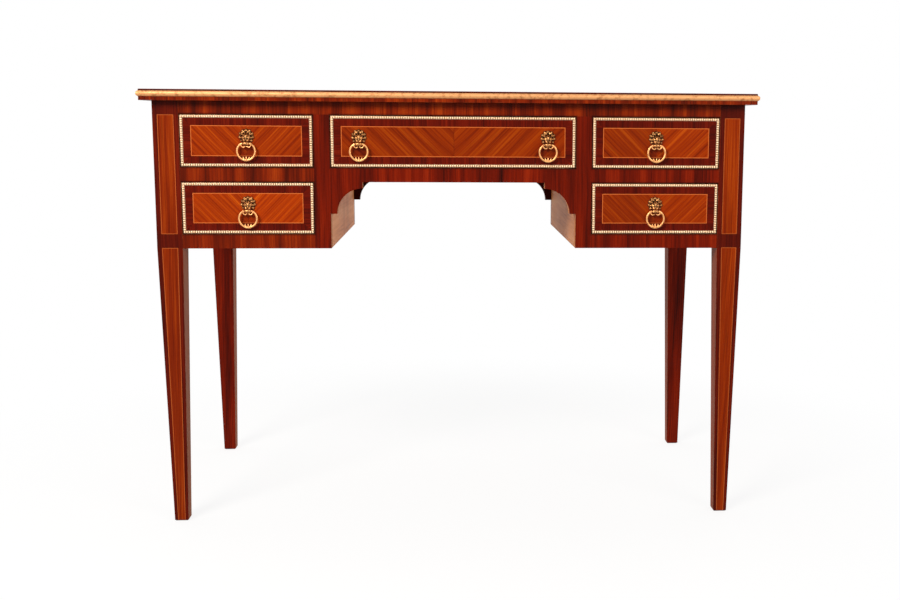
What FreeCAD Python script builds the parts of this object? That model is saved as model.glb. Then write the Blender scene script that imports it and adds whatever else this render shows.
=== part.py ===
import FreeCAD, Part
import math
import os
import re
import Sketcher
from FreeCAD import Placement, Rotation, Vector

# Driving dimensions, in millimetres
SIZES = {
    "desk_height": 765,
    "frame_width": 1025,
    "frame_depth": 514,
    "top_thickness": 19,
    "top_overhang": 17.5,
    "top_edge_round": 1,
    "leather_margin": 62,
    "leather_thickness": 1.2,
    "band_height": 9.5,
    "band_drop": 3,
    "band_projection": 3.5,
    "band_seat": 1.5,
    "band_flank": 0.45,
    "leg_width": 43.5,
    "foot_width": 24,
    "foot_chamfer": 2,
    "top_rail_height": 22,
    "rail_height": 24.5,
    "rail_thickness": 20,
    "stile_width": 28,
    "opening_width": 227,
    "opening_height": 91,
    "face_setback": 0.4,
    "arch_radius": 44,
    "arch_step": 11,
    "panel_thickness": 16,
    "back_thickness": 14,
    "case_bottom_thickness": 12,
    "tenon_length": 12,
    "tenon_thickness": 8,
    "tenon_shoulder": 4,
    "tongue_length": 5,
    "tongue_thickness": 5,
    "joint_fit": 0.1,
    "joint_end_gap": 0.5,
    "runner_ledge": 10,
    "guide_height": 30,
    "kicker_width": 20,
    "running_gap": 0.3,
    "drawer_gap": 1.5,
    "drawer_recess": 0.6,
    "drawer_front_thickness": 20,
    "drawer_side_thickness": 10,
    "drawer_back_thickness": 10,
    "drawer_back_inset": 6,
    "drawer_back_drop": 5,
    "drawer_back_tongue": 4,
    "drawer_side_drop": 6,
    "drawer_end_gap": 6,
    "drawer_bottom_thickness": 5,
    "drawer_bottom_rise": 8,
    "drawer_groove": 5,
    "dovetail_length": 13,
    "dovetail_tip": 18,
    "dovetail_neck": 13,
    "bead_width": 4.6,
    "bead_projection": 2,
    "bead_seat": 1.5,
    "bead_flank": 0.3,
    "pull_inset": 50,
    "hinge_drop": 4.5,
    "hinge_standoff": 7,
    "ring_radius": 15.4,
    "ring_wire": 4.2,
    "ring_rise": 3,
    "ring_chamfer": 1.2,
    "ring_crown": 0.4,
    "ring_jaw_gap": 0.4,
    "ring_leaf_wire": 5.4,
    "ring_leaf_length": 9,
    "pin_diameter": 2.4,
    "pin_clearance": 0.05,
    "pin_gap": 3,
    "mask_width": 24,
    "mask_rise": 12.5,
    "mane_depth": 3,
    "inner_mane_width": 19,
    "inner_mane_depth": 5,
    "lock_depth": 2.2,
    "head_width": 14,
    "head_height": 16,
    "head_projection": 8.5,
    "head_taper": 3,
    "muzzle_width": 8.4,
    "muzzle_height": 8,
    "muzzle_projection": 11,
    "muzzle_taper": 1.2,
    "muzzle_drop": 5,
    "ear_width": 4.2,
    "ear_projection": 6.8,
    "ear_taper": 1,
    "ear_spread": 12.5,
    "ear_rise": 7,
    "jaw_width": 10.4,
    "jaw_diameter": 6.4,
    "chin_width": 8,
    "post_diameter": 4,
    "post_tail": 4,
}
TAILS = 3
MANE_LOCKS = 9
RING_SIDES = 18
BAR_SIDES = 8
SHEET = "Sizes"

# Heights of the front frame, from the underside of the top down to the foot of the case
UNDER_TOP = "(desk_height - top_thickness)"
UPPER_HEAD = f"({UNDER_TOP} - top_rail_height)"
UPPER_SILL = f"({UPPER_HEAD} - opening_height)"
LOWER_HEAD = f"({UPPER_SILL} - rail_height)"
LOWER_SILL = f"({LOWER_HEAD} - opening_height)"
CASE_FOOT = f"({LOWER_SILL} - rail_height)"

# Distances from the middle out to the faces of the frame members on the right
LEG_OUT = "(frame_width / 2)"
LEG_IN = "(frame_width / 2 - leg_width)"
PANEL_OUT = "(frame_width / 2 - face_setback)"
PANEL_IN = "(frame_width / 2 - face_setback - panel_thickness)"
STILE_OUT = f"({LEG_IN} - opening_width)"
KNEE_IN = f"({STILE_OUT} - stile_width)"
KNEE_OUT = f"({KNEE_IN} + panel_thickness)"

# Depths, from the front faces at negative y to the back at positive y
LEG_BACK = "(frame_depth / 2)"
LEG_INNER = "(frame_depth / 2 - leg_width)"
FACE = "(face_setback - frame_depth / 2)"
RAIL_BACK = f"({FACE} + rail_thickness)"
BACK_FACE = "(frame_depth / 2 - face_setback)"
BACK_INNER = f"({BACK_FACE} - back_thickness)"

# Depths of a closed drawer
DRAWER_FACE = f"({FACE} + drawer_recess)"
DRAWER_FRONT_BACK = f"({DRAWER_FACE} + drawer_front_thickness)"
DRAWER_END = f"({BACK_INNER} - drawer_end_gap)"
HINGE_Y = f"({DRAWER_FACE} - hinge_standoff)"

# Spans shared by the pieces of a joint
RAIL_DEPTH = (FACE, RAIL_BACK)
CASE_DEPTH = (RAIL_BACK, BACK_INNER)
TENON_DEPTH = (
    f"{FACE} + (rail_thickness - tenon_thickness) / 2",
    f"{FACE} + (rail_thickness + tenon_thickness) / 2",
)
END_TONGUE = (
    f"{PANEL_IN} + (panel_thickness - tongue_thickness) / 2",
    f"{PANEL_IN} + (panel_thickness + tongue_thickness) / 2",
)
KNEE_TONGUE = (
    f"{KNEE_IN} + (panel_thickness - tongue_thickness) / 2",
    f"{KNEE_IN} + (panel_thickness + tongue_thickness) / 2",
)
BACK_TONGUE = (
    f"{BACK_INNER} + (back_thickness - tongue_thickness) / 2",
    f"{BACK_INNER} + (back_thickness + tongue_thickness) / 2",
)
RAIL_HEIGHTS = {
    "Top": (UPPER_HEAD, UNDER_TOP),
    "Middle": (LOWER_HEAD, UPPER_SILL),
    "Bottom": (CASE_FOOT, LOWER_SILL),
}
STILE_TENON = (f"{KNEE_IN} + tenon_shoulder", f"{STILE_OUT} - tenon_shoulder")
CASE_BOTTOM = (f"{LOWER_SILL} - case_bottom_thickness", LOWER_SILL)
MORTISE_DEPTH = "(tenon_length + joint_end_gap)"
GROOVE_DEPTH = "(tongue_length + joint_end_gap)"

# The shaped opening of the kneehole: a step, a quarter round and a second step at each side
ARCH_CENTRE_X = f"({KNEE_IN} - arch_step - arch_radius)"
ARCH_FOOT = f"({LOWER_HEAD} - arch_step - arch_radius)"

SIDES = {"left": -1, "right": 1}

doc = FreeCAD.newDocument("WritingDesk")
sheet = doc.addObject("Spreadsheet::Sheet", SHEET)
for row, (alias, size) in enumerate(SIZES.items(), start=1):
    sheet.set(f"A{row}", alias)
    sheet.set(f"B{row}", str(size))
    sheet.setAlias(f"B{row}", alias)
doc.recompute()


def bound(text):
    """The expression with each size read from the sheet."""
    return re.sub(r"[a-z_]+", lambda word: f"{SHEET}.{word[0]}" if word[0] in SIZES else word[0], text)


def bind(feature, name, text):
    feature.setExpression(name, bound(text))


def value(text):
    return float(sheet.evalExpression(bound(text)))


def across(side, low, high):
    """A span given for the right or rear, and its mirror image on the other side."""
    if side > 0:
        return low, high
    return f"-({high})", f"-({low})"


def widen(span, amount):
    return f"{span[0]} - {amount}", f"{span[1]} + {amount}"


def middle(span):
    return f"(({span[0]}) + ({span[1]})) / 2"


def new_body(label):
    body = doc.addObject("PartDesign::Body", "Body")
    body.Label = label
    return body


def primitive(body, shape, name, cut):
    kind = "Subtractive" if cut else "Additive"
    return body.newObject(f"PartDesign::{kind}{shape}", name)


def place(feature, x, y, z):
    for axis, text in zip("xyz", (x, y, z)):
        bind(feature, f"Placement.Base.{axis}", text)


def block(body, name, x, y, z, cut=False):
    """A board between three spans, or a groove cut to them."""
    box = primitive(body, "Box", name, cut)
    for size, span in zip(("Length", "Width", "Height"), (x, y, z)):
        bind(box, size, f"({span[1]}) - ({span[0]})")
    place(box, x[0], y[0], z[0])


def rod(body, shape, name, axis, start, radius, length, cut):
    """A bar that runs from its start along the x or y axis."""
    bar = primitive(body, shape, name, cut)
    turn = {"x": Rotation(Vector(0, 1, 0), 90), "y": Rotation(Vector(1, 0, 0), -90)}
    bar.Placement = Placement(Vector(), turn[axis])
    bind(bar, "Radius" if shape == "Cylinder" else "Circumradius", radius)
    bind(bar, "Height", length)
    place(bar, *start)
    return bar


def cylinder(body, name, axis, start, radius, length, cut=False):
    rod(body, "Cylinder", name, axis, start, radius, length, cut)


def prism(body, name, axis, start, sides, radius, length, cut=False):
    rod(body, "Prism", name, axis, start, radius, length, cut).Polygon = sides


def wedge(body, name, y, first, second, cut=False):
    """A prism between an x and z section at the first y and another at the second."""
    prism = primitive(body, "Wedge", name, cut)
    limits = {"Ymin": y[0], "Ymax": y[1]}
    for mark, section in (("", first), ("2", second)):
        for axis, span in zip("XZ", section):
            limits[f"{axis}{mark}min"] = span[0]
            limits[f"{axis}{mark}max"] = span[1]
    for limit, text in limits.items():
        bind(prism, limit, text)
    return prism


def dovetail(body, name, x, y, centre, tip, neck, cut=False):
    """A tail that widens from its neck at the back to its tip at the front."""
    heights = [(f"{centre} - ({height}) / 2", f"{centre} + ({height}) / 2") for height in (tip, neck)]
    wedge(body, name, y, (x, heights[0]), (x, heights[1]), cut)


def plane_sketch(body, name, role, offset):
    sketch = body.newObject("Sketcher::SketchObject", name)
    plane = next(feature for feature in body.Origin.OriginFeatures if feature.Role == role)
    sketch.AttachmentSupport = [(plane, "")]
    sketch.MapMode = "FlatFace"
    bind(sketch, "AttachmentOffset.Base.z", offset)
    return sketch


def constrain(sketch, text, *terms):
    number = sketch.addConstraint(Sketcher.Constraint(*terms, value(text)))
    bind(sketch, f"Constraints[{number}]", text)


def outline(body, name, role, corners, offset, arcs=None):
    """A closed sketch through its corners, with an arc after each corner that has a centre in arcs."""
    arcs = arcs or {}
    sketch = plane_sketch(body, name, role, offset)
    points = [Vector(value(u), value(v), 0) for u, v in corners]
    for index, start in enumerate(points):
        end = points[(index + 1) % len(points)]
        if index in arcs:
            centre = Vector(*(value(text) for text in arcs[index]["centre"]), 0)
            angles = [math.atan2(point.y - centre.y, point.x - centre.x) for point in (start, end)]
            circle = Part.Circle(centre, Vector(0, 0, 1), start.distanceToPoint(centre))
            sketch.addGeometry(Part.ArcOfCircle(circle, *angles), False)
        else:
            sketch.addGeometry(Part.LineSegment(start, end), False)
    for index, (u, v) in enumerate(corners):
        previous = (index - 1) % len(corners)
        sketch.addConstraint(Sketcher.Constraint("Coincident", previous, 2, index, 1))
        constrain(sketch, u, "DistanceX", -1, 1, index, 1)
        constrain(sketch, v, "DistanceY", -1, 1, index, 1)
    for index, arc in arcs.items():
        constrain(sketch, arc["radius"], "Radius", index)
    return sketch


def pad(body, name, sketch, length, reversed=False):
    board = body.newObject("PartDesign::Pad", name)
    board.Profile = sketch
    board.Reversed = reversed
    bind(board, "Length", length)


def boss(body, name, centre, widths, projection, taper):
    """A block that stands out towards the front and tapers on all four sides."""
    base = [(f"{mark} - {width} / 2", f"{mark} + {width} / 2") for mark, width in zip(centre, widths)]
    nose = [widen(span, f"(-{taper})") for span in base]
    wedge(body, name, (f"-{projection}", "0"), nose, base)


def group(label, members):
    """Several solids that share one node."""
    compound = doc.addObject("Part::Compound", "Group")
    compound.Links = members
    compound.Label = label
    return compound


def mitred_rod(label, half_lengths, y, z, radius, axis, turn, corner):
    """A rounded strip with mitred ends, from its outer and inner half lengths, a section and a rod."""
    outer, inner = half_lengths
    wedge = doc.addObject("Part::Wedge", "Mitre")
    limits = {
        "Xmin": f"-({outer})",
        "Xmax": outer,
        "X2min": f"-({inner})",
        "X2max": inner,
        "Ymin": y[0],
        "Ymax": y[1],
        "Zmin": z[0],
        "Zmax": z[1],
        "Z2min": z[0],
        "Z2max": z[1],
    }
    for limit, text in limits.items():
        bind(wedge, limit, text)
    rod = doc.addObject("Part::Cylinder", "Rounding")
    rod.Placement = Placement(Vector(), Rotation(Vector(0, 1, 0), 90))
    bind(rod, "Radius", radius)
    bind(rod, "Height", f"2 * ({outer})")
    place(rod, f"-({outer})", *axis)
    strip = doc.addObject("Part::Common", "Strip")
    strip.Base = wedge
    strip.Tool = rod
    strip.Label = label
    strip.Placement = Placement(Vector(), turn)
    place(strip, *corner)
    return strip


def edges_where(shape, test):
    return [f"Edge{number}" for number, edge in enumerate(shape.Edges, start=1) if test(edge)]


def dress(body, kind, name, size_name, size, test):
    """A fillet or chamfer on the edges of the body that pass the test."""
    doc.recompute()
    base = body.Tip
    feature = body.newObject(f"PartDesign::{kind}", name)
    feature.Base = (base, edges_where(base.Shape, test))
    bind(feature, size_name, size)


# The top

def make_top():
    board = new_body("top_board")
    width = ("-(frame_width / 2 + top_overhang)", "frame_width / 2 + top_overhang")
    depth = ("-(frame_depth / 2 + top_overhang)", "frame_depth / 2 + top_overhang")
    block(board, "Board", width, depth, (UNDER_TOP, "desk_height"))
    upper = value("desk_height")
    dress(board, "Fillet", "UpperEdge", "Radius", "top_edge_round",
          lambda edge: min(vertex.Z for vertex in edge.Vertexes) > upper - 0.01)

    leather_x = widen(width, "(-leather_margin)")
    leather_y = widen(depth, "(-leather_margin)")
    leather_z = ("desk_height - leather_thickness", "desk_height")
    block(board, "LeatherRecess", widen(leather_x, "joint_fit"), widen(leather_y, "joint_fit"),
          leather_z, cut=True)
    leather = new_body("writing_leather")
    block(leather, "Skin", leather_x, leather_y, leather_z)

    band_z = ("desk_height - band_drop - band_height", "desk_height - band_drop")
    for side in (-1, 1):
        x_seat = across(side, f"{width[1]} - band_seat", width[1])
        y_seat = across(side, f"{depth[1]} - band_seat", depth[1])
        block(board, "BandSeatEnd", x_seat, depth, band_z, cut=True)
        block(board, "BandSeatLong", width, y_seat, band_z, cut=True)

    radius = "(band_height / 2 + band_flank)"
    strips = []
    for quarter, name in enumerate(("front", "right", "rear", "left")):
        reach = width[1] if quarter % 2 == 0 else depth[1]
        corner = {
            "front": ("0", depth[0]),
            "right": (width[1], "0"),
            "rear": ("0", depth[1]),
            "left": (width[0], "0"),
        }[name]
        strips.append(mitred_rod(
            f"band_{name}",
            (f"{reach} + band_projection", f"{reach} - band_seat"),
            ("-band_projection", "band_seat"),
            ("-band_height / 2", "band_height / 2"),
            radius,
            (f"{radius} - band_projection", "0"),
            Rotation(Vector(0, 0, 1), 90 * quarter),
            (*corner, middle(band_z)),
        ))
    return [board, leather, group("top_band", strips)]


# Legs and panels

def make_leg(side_name, side, end_name, end):
    leg = new_body(f"{end_name}_{side_name}_leg")
    x = across(side, LEG_IN, LEG_OUT)
    y = across(end, LEG_INNER, LEG_BACK)
    block(leg, "Post", x, y, (CASE_FOOT, UNDER_TOP))
    taper = "(-(leg_width - foot_width) / 2)"
    upright = (x, across(-1, *y))
    foot = tuple(widen(span, taper) for span in upright)
    shaft = wedge(leg, "Shaft", ("0", CASE_FOOT), foot, upright)
    shaft.Placement = Placement(Vector(), Rotation(Vector(1, 0, 0), 90))
    dress(leg, "Chamfer", "FootEdge", "Size", "foot_chamfer",
          lambda edge: max(vertex.Z for vertex in edge.Vertexes) < 0.01)

    groove_y = across(end, f"{LEG_INNER}", f"{LEG_INNER} + {GROOVE_DEPTH}")
    block(leg, "EndPanelGroove", widen(across(side, *END_TONGUE), "joint_fit"), groove_y,
          (CASE_FOOT, UNDER_TOP), cut=True)
    if end > 0:
        groove_x = across(side, LEG_IN, f"{LEG_IN} + {GROOVE_DEPTH}")
        block(leg, "BackPanelGroove", groove_x, widen(BACK_TONGUE, "joint_fit"),
              (CASE_FOOT, UNDER_TOP), cut=True)
    else:
        for name, rail_z in RAIL_HEIGHTS.items():
            mortise(leg, f"{name}Mortise", across(side, LEG_IN, f"{LEG_IN} + {MORTISE_DEPTH}"), rail_z)
    return leg


def shouldered(z):
    return f"{z[0]} + tenon_shoulder", f"{z[1]} - tenon_shoulder"


def mortise(body, name, x, rail_z):
    block(body, name, x, widen(TENON_DEPTH, "joint_fit"), widen(shouldered(rail_z), "joint_fit"), cut=True)


def make_rail(label, x, z):
    """A rail between two uprights, with a tenon at each end."""
    rail = new_body(label)
    block(rail, "Rail", x, RAIL_DEPTH, z)
    block(rail, "Tenons", widen(x, "tenon_length"), TENON_DEPTH, shouldered(z))
    return rail


def make_top_rail():
    rail = make_rail("top_rail", (f"-{LEG_IN}", LEG_IN), RAIL_HEIGHTS["Top"])
    for name, side in SIDES.items():
        x = widen(across(side, *STILE_TENON), "joint_fit")
        block(rail, f"{name.title()}StileMortise", x, widen(TENON_DEPTH, "joint_fit"),
              (UPPER_HEAD, f"{UPPER_HEAD} + {MORTISE_DEPTH}"), cut=True)
    return rail


def make_stile(name, side):
    stile = new_body(f"{name}_stile")
    block(stile, "Stile", across(side, KNEE_IN, STILE_OUT), RAIL_DEPTH, (CASE_FOOT, UPPER_HEAD))
    block(stile, "TopTenon", across(side, *STILE_TENON), TENON_DEPTH,
          (UPPER_HEAD, f"{UPPER_HEAD} + tenon_length"))
    outer = across(side, f"{STILE_OUT} - {MORTISE_DEPTH}", STILE_OUT)
    mortise(stile, "MiddleMortise", outer, RAIL_HEIGHTS["Middle"])
    mortise(stile, "BottomMortise", outer, RAIL_HEIGHTS["Bottom"])
    inner = across(side, KNEE_IN, f"{KNEE_IN} + {MORTISE_DEPTH}")
    mortise(stile, "ApronMortise", inner, RAIL_HEIGHTS["Middle"])
    block(stile, "KneePanelGroove", widen(across(side, *KNEE_TONGUE), "joint_fit"),
          (f"{RAIL_BACK} - {GROOVE_DEPTH}", RAIL_BACK), (CASE_FOOT, UPPER_HEAD), cut=True)
    return stile


def make_bottom_rail(name, side):
    rail = make_rail(f"{name}_bottom_rail", across(side, STILE_OUT, LEG_IN), RAIL_HEIGHTS["Bottom"])
    block(rail, "CaseBottomRebate", across(side, STILE_OUT, LEG_IN),
          (f"{RAIL_BACK} - {GROOVE_DEPTH}", RAIL_BACK),
          (f"{CASE_BOTTOM[0]} - joint_fit", LOWER_SILL), cut=True)
    return rail


def shaped_board(label, face, thickness, top):
    """A board across the kneehole whose lower edge steps and curves down to the uprights."""
    board = new_body(label)
    corners = [
        (KNEE_IN, ARCH_FOOT),
        (f"{KNEE_IN} - arch_step", ARCH_FOOT),
        (ARCH_CENTRE_X, f"{ARCH_FOOT} + arch_radius"),
        (ARCH_CENTRE_X, LOWER_HEAD),
        (f"-{ARCH_CENTRE_X}", LOWER_HEAD),
        (f"-{ARCH_CENTRE_X}", f"{ARCH_FOOT} + arch_radius"),
        (f"-({KNEE_IN} - arch_step)", ARCH_FOOT),
        (f"-{KNEE_IN}", ARCH_FOOT),
        (f"-{KNEE_IN}", top),
        (KNEE_IN, top),
    ]
    arcs = {
        1: {"centre": (ARCH_CENTRE_X, ARCH_FOOT), "radius": "arch_radius"},
        5: {"centre": (f"-{ARCH_CENTRE_X}", ARCH_FOOT), "radius": "arch_radius"},
    }
    sketch = outline(board, "Outline", "XZ_Plane", corners, f"-({face})", arcs)
    pad(board, "Board", sketch, thickness, reversed=True)
    return board


def make_front_apron():
    apron = shaped_board("front_apron", FACE, "rail_thickness", UPPER_SILL)
    block(apron, "Tenons", widen((f"-{KNEE_IN}", KNEE_IN), "tenon_length"), TENON_DEPTH,
          shouldered(RAIL_HEIGHTS["Middle"]))
    return apron


def make_rear_apron():
    apron = shaped_board("rear_apron", BACK_INNER, "back_thickness", UNDER_TOP)
    block(apron, "Tongues", widen((f"-{KNEE_IN}", KNEE_IN), "tongue_length"), BACK_TONGUE,
          (LOWER_HEAD, UNDER_TOP))
    return apron


def make_end_panel(name, side):
    panel = new_body(f"{name}_end_panel")
    depth = (f"-{LEG_INNER}", LEG_INNER)
    height = (CASE_FOOT, UNDER_TOP)
    block(panel, "Panel", across(side, PANEL_IN, PANEL_OUT), depth, height)
    block(panel, "Tongues", across(side, *END_TONGUE), widen(depth, "tongue_length"), height)
    block(panel, "CaseBottomGroove", across(side, PANEL_IN, f"{PANEL_IN} + {GROOVE_DEPTH}"), depth,
          widen(CASE_BOTTOM, "joint_fit"), cut=True)
    return panel


def make_back_panel(name, side):
    panel = new_body(f"{name}_back_panel")
    height = (CASE_FOOT, UNDER_TOP)
    block(panel, "Panel", across(side, KNEE_IN, LEG_IN), (BACK_INNER, BACK_FACE), height)
    block(panel, "Tongue", across(side, LEG_IN, f"{LEG_IN} + tongue_length"), BACK_TONGUE, height)
    block(panel, "KneePanelGroove", widen(across(side, *KNEE_TONGUE), "joint_fit"),
          (BACK_INNER, f"{BACK_INNER} + {GROOVE_DEPTH}"), height, cut=True)
    block(panel, "ApronGroove", across(side, KNEE_IN, f"{KNEE_IN} + {GROOVE_DEPTH}"),
          widen(BACK_TONGUE, "joint_fit"), (f"{LOWER_HEAD} - joint_fit", UNDER_TOP), cut=True)
    return panel


def make_knee_panel(name, side):
    panel = new_body(f"{name}_knee_panel")
    height = (CASE_FOOT, UNDER_TOP)
    block(panel, "Panel", across(side, KNEE_IN, KNEE_OUT), CASE_DEPTH, height)
    block(panel, "FrontTongue", across(side, *KNEE_TONGUE), (f"{RAIL_BACK} - tongue_length", RAIL_BACK),
          (CASE_FOOT, UPPER_HEAD))
    block(panel, "RearTongue", across(side, *KNEE_TONGUE),
          (BACK_INNER, f"{BACK_INNER} + tongue_length"), height)
    block(panel, "CaseBottomGroove", across(side, f"{KNEE_OUT} - {GROOVE_DEPTH}", KNEE_OUT), CASE_DEPTH,
          widen(CASE_BOTTOM, "joint_fit"), cut=True)
    return panel


def make_case_bottom(name, side):
    board = new_body(f"{name}_case_bottom")
    outer = f"{PANEL_IN} + tongue_length"
    block(board, "Board", across(side, f"{KNEE_OUT} - tongue_length", outer), CASE_DEPTH, CASE_BOTTOM)
    block(board, "FrontTongue", across(side, STILE_OUT, LEG_IN),
          (f"{RAIL_BACK} - tongue_length", RAIL_BACK), CASE_BOTTOM)
    beside_leg = across(side, f"{LEG_IN} - joint_fit", outer)
    front_leg = (RAIL_BACK, f"-{LEG_INNER} + joint_fit")
    rear_leg = (f"{LEG_INNER} - joint_fit", BACK_INNER)
    block(board, "FrontLegNotch", beside_leg, front_leg, CASE_BOTTOM, cut=True)
    block(board, "RearLegNotch", beside_leg, rear_leg, CASE_BOTTOM, cut=True)
    return board


# What the drawers run on

def make_side_runners(name, side):
    between_legs = (f"-{LEG_INNER}", LEG_INNER)
    runner_z = RAIL_HEIGHTS["Middle"]
    upper_guide_z = (UPPER_SILL, f"{UPPER_SILL} + guide_height")
    lower_guide_z = (LOWER_SILL, f"{LOWER_SILL} + guide_height")
    beside_panel = across(side, LEG_IN, PANEL_IN)
    beside_knee = across(side, KNEE_OUT, STILE_OUT)

    outer = new_body(f"{name}_outer_runner")
    block(outer, "Ledge", across(side, f"{LEG_IN} - runner_ledge", LEG_IN), CASE_DEPTH, runner_z)
    block(outer, "Web", beside_panel, between_legs, runner_z)
    block(outer, "Guide", beside_panel, between_legs, upper_guide_z)

    inner = new_body(f"{name}_inner_runner")
    block(inner, "Ledge", across(side, KNEE_OUT, f"{STILE_OUT} + runner_ledge"), CASE_DEPTH, runner_z)
    block(inner, "Guide", beside_knee, CASE_DEPTH, upper_guide_z)

    outer_guide = new_body(f"{name}_outer_guide")
    block(outer_guide, "Guide", beside_panel, between_legs, lower_guide_z)

    inner_guide = new_body(f"{name}_inner_guide")
    block(inner_guide, "Guide", beside_knee, CASE_DEPTH, lower_guide_z)
    return group(f"{name}_runners", [outer, inner, outer_guide, inner_guide])


def make_centre_runners():
    runners = []
    for name, side in SIDES.items():
        runner = new_body(f"centre_{name}_runner")
        block(runner, "Ledge", across(side, f"{KNEE_IN} - runner_ledge", KNEE_IN), CASE_DEPTH,
              RAIL_HEIGHTS["Middle"])
        runners.append(runner)
    return group("centre_runners", runners)


def make_kickers():
    """The strips over the upper drawers that keep them from tipping when they are drawn out."""
    spans = {
        "outer": (f"{LEG_IN} - kicker_width", LEG_IN),
        "inner": (KNEE_OUT, f"{KNEE_OUT} + kicker_width"),
        "centre": (f"{KNEE_IN} - kicker_width", KNEE_IN),
    }
    kickers = []
    for side_name, side in SIDES.items():
        for name, x in spans.items():
            kicker = new_body(f"{side_name}_{name}_kicker")
            block(kicker, "Strip", across(side, *x), CASE_DEPTH, RAIL_HEIGHTS["Top"])
            kickers.append(kicker)
    return group("kickers", kickers)


# Drawers

class Drawer:
    """The spans of one drawer, from the opening that it fills."""

    def __init__(self, name, opening, sill, pulls):
        self.name = name
        self.pulls = pulls
        self.x = widen(opening, "(-drawer_gap)")
        self.front_z = (f"{sill} + drawer_gap", f"{sill} + opening_height - drawer_gap")
        self.front_y = (DRAWER_FACE, DRAWER_FRONT_BACK)
        self.side_z = (f"{sill} + running_gap", f"{sill} + opening_height - drawer_side_drop")
        self.inside = widen(self.x, "(-drawer_side_thickness)")
        bottom = f"{sill} + running_gap + drawer_bottom_rise"
        self.bottom_z = (bottom, f"{bottom} + drawer_bottom_thickness")
        back = f"{DRAWER_END} - drawer_back_inset"
        self.back_y = (f"{back} - drawer_back_thickness", back)
        self.hinge_z = f"({sill} + opening_height / 2 - hinge_drop)"

    def tail_centres(self):
        low, high = self.side_z
        return [f"({low}) + (({high}) - ({low})) * {2 * index + 1} / {2 * TAILS}" for index in range(TAILS)]

    def side_spans(self):
        return {"left": (self.x[0], self.inside[0]), "right": (self.inside[1], self.x[1])}


def make_drawer_front(drawer):
    front = new_body(f"{drawer.name}_front")
    block(front, "Board", drawer.x, drawer.front_y, drawer.front_z)
    seat_y = (DRAWER_FACE, f"{DRAWER_FACE} + bead_seat")
    x_low, x_high = drawer.x
    z_low, z_high = drawer.front_z
    block(front, "LeftBeadSeat", (x_low, f"{x_low} + bead_width"), seat_y, drawer.front_z, cut=True)
    block(front, "RightBeadSeat", (f"{x_high} - bead_width", x_high), seat_y, drawer.front_z, cut=True)
    block(front, "LowerBeadSeat", drawer.x, seat_y, (z_low, f"{z_low} + bead_width"), cut=True)
    block(front, "UpperBeadSeat", drawer.x, seat_y, (f"{z_high} - bead_width", z_high), cut=True)

    socket_y = (f"{DRAWER_FRONT_BACK} - dovetail_length - joint_fit", DRAWER_FRONT_BACK)
    ends = {
        "Left": (x_low, f"{drawer.inside[0]} + joint_fit"),
        "Right": (f"{drawer.inside[1]} - joint_fit", x_high),
    }
    for name, x in ends.items():
        for centre in drawer.tail_centres():
            dovetail(front, f"{name}Socket", x, socket_y, centre,
                     "dovetail_tip + 2 * joint_fit", "dovetail_neck + 2 * joint_fit", cut=True)
    groove_y = (f"{DRAWER_FRONT_BACK} - drawer_groove - joint_end_gap", DRAWER_FRONT_BACK)
    block(front, "BottomGroove", widen(drawer.inside, "(drawer_groove + joint_end_gap)"), groove_y,
          widen(drawer.bottom_z, "joint_fit"), cut=True)
    for pull_x in drawer.pulls.values():
        cylinder(front, "PostHole", "y", (pull_x, DRAWER_FACE, f"{drawer.hinge_z} + mask_rise"),
                 "post_diameter / 2 + joint_fit", "drawer_front_thickness", cut=True)
    return front


def make_drawer_box(drawer):
    """The two sides, dovetailed into the front, and the back housed between them."""
    tail_y = (f"{DRAWER_FRONT_BACK} - dovetail_length", DRAWER_FRONT_BACK)
    pieces = []
    for name, x in drawer.side_spans().items():
        side = new_body(f"{drawer.name}_{name}_side")
        block(side, "Board", x, (DRAWER_FRONT_BACK, DRAWER_END), drawer.side_z)
        for centre in drawer.tail_centres():
            dovetail(side, "Tail", x, tail_y, centre, "dovetail_tip", "dovetail_neck")
        inward = 1 if name == "left" else -1
        face = drawer.inside[0] if inward > 0 else drawer.inside[1]
        depths = {
            "BottomGroove": "(drawer_groove + joint_end_gap)",
            "BackHousing": "(drawer_back_tongue + joint_end_gap)",
        }
        spans = {
            cut: (f"{face} - {depth}", face) if inward > 0 else (face, f"{face} + {depth}")
            for cut, depth in depths.items()
        }
        block(side, "BottomGroove", spans["BottomGroove"], (tail_y[0], DRAWER_END),
              widen(drawer.bottom_z, "joint_fit"), cut=True)
        block(side, "BackHousing", spans["BackHousing"], widen(drawer.back_y, "joint_fit"),
              (drawer.bottom_z[1], drawer.side_z[1]), cut=True)
        pieces.append(side)
    back = new_body(f"{drawer.name}_back")
    block(back, "Board", widen(drawer.inside, "drawer_back_tongue"), drawer.back_y,
          (drawer.bottom_z[1], f"{drawer.side_z[1]} - drawer_back_drop"))
    return group(f"{drawer.name}_box", [*pieces, back])


def make_drawer_bottom(drawer):
    bottom = new_body(f"{drawer.name}_bottom")
    block(bottom, "Panel", widen(drawer.inside, "drawer_groove"),
          (f"{DRAWER_FRONT_BACK} - drawer_groove", drawer.back_y[1]), drawer.bottom_z)
    return bottom


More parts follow.
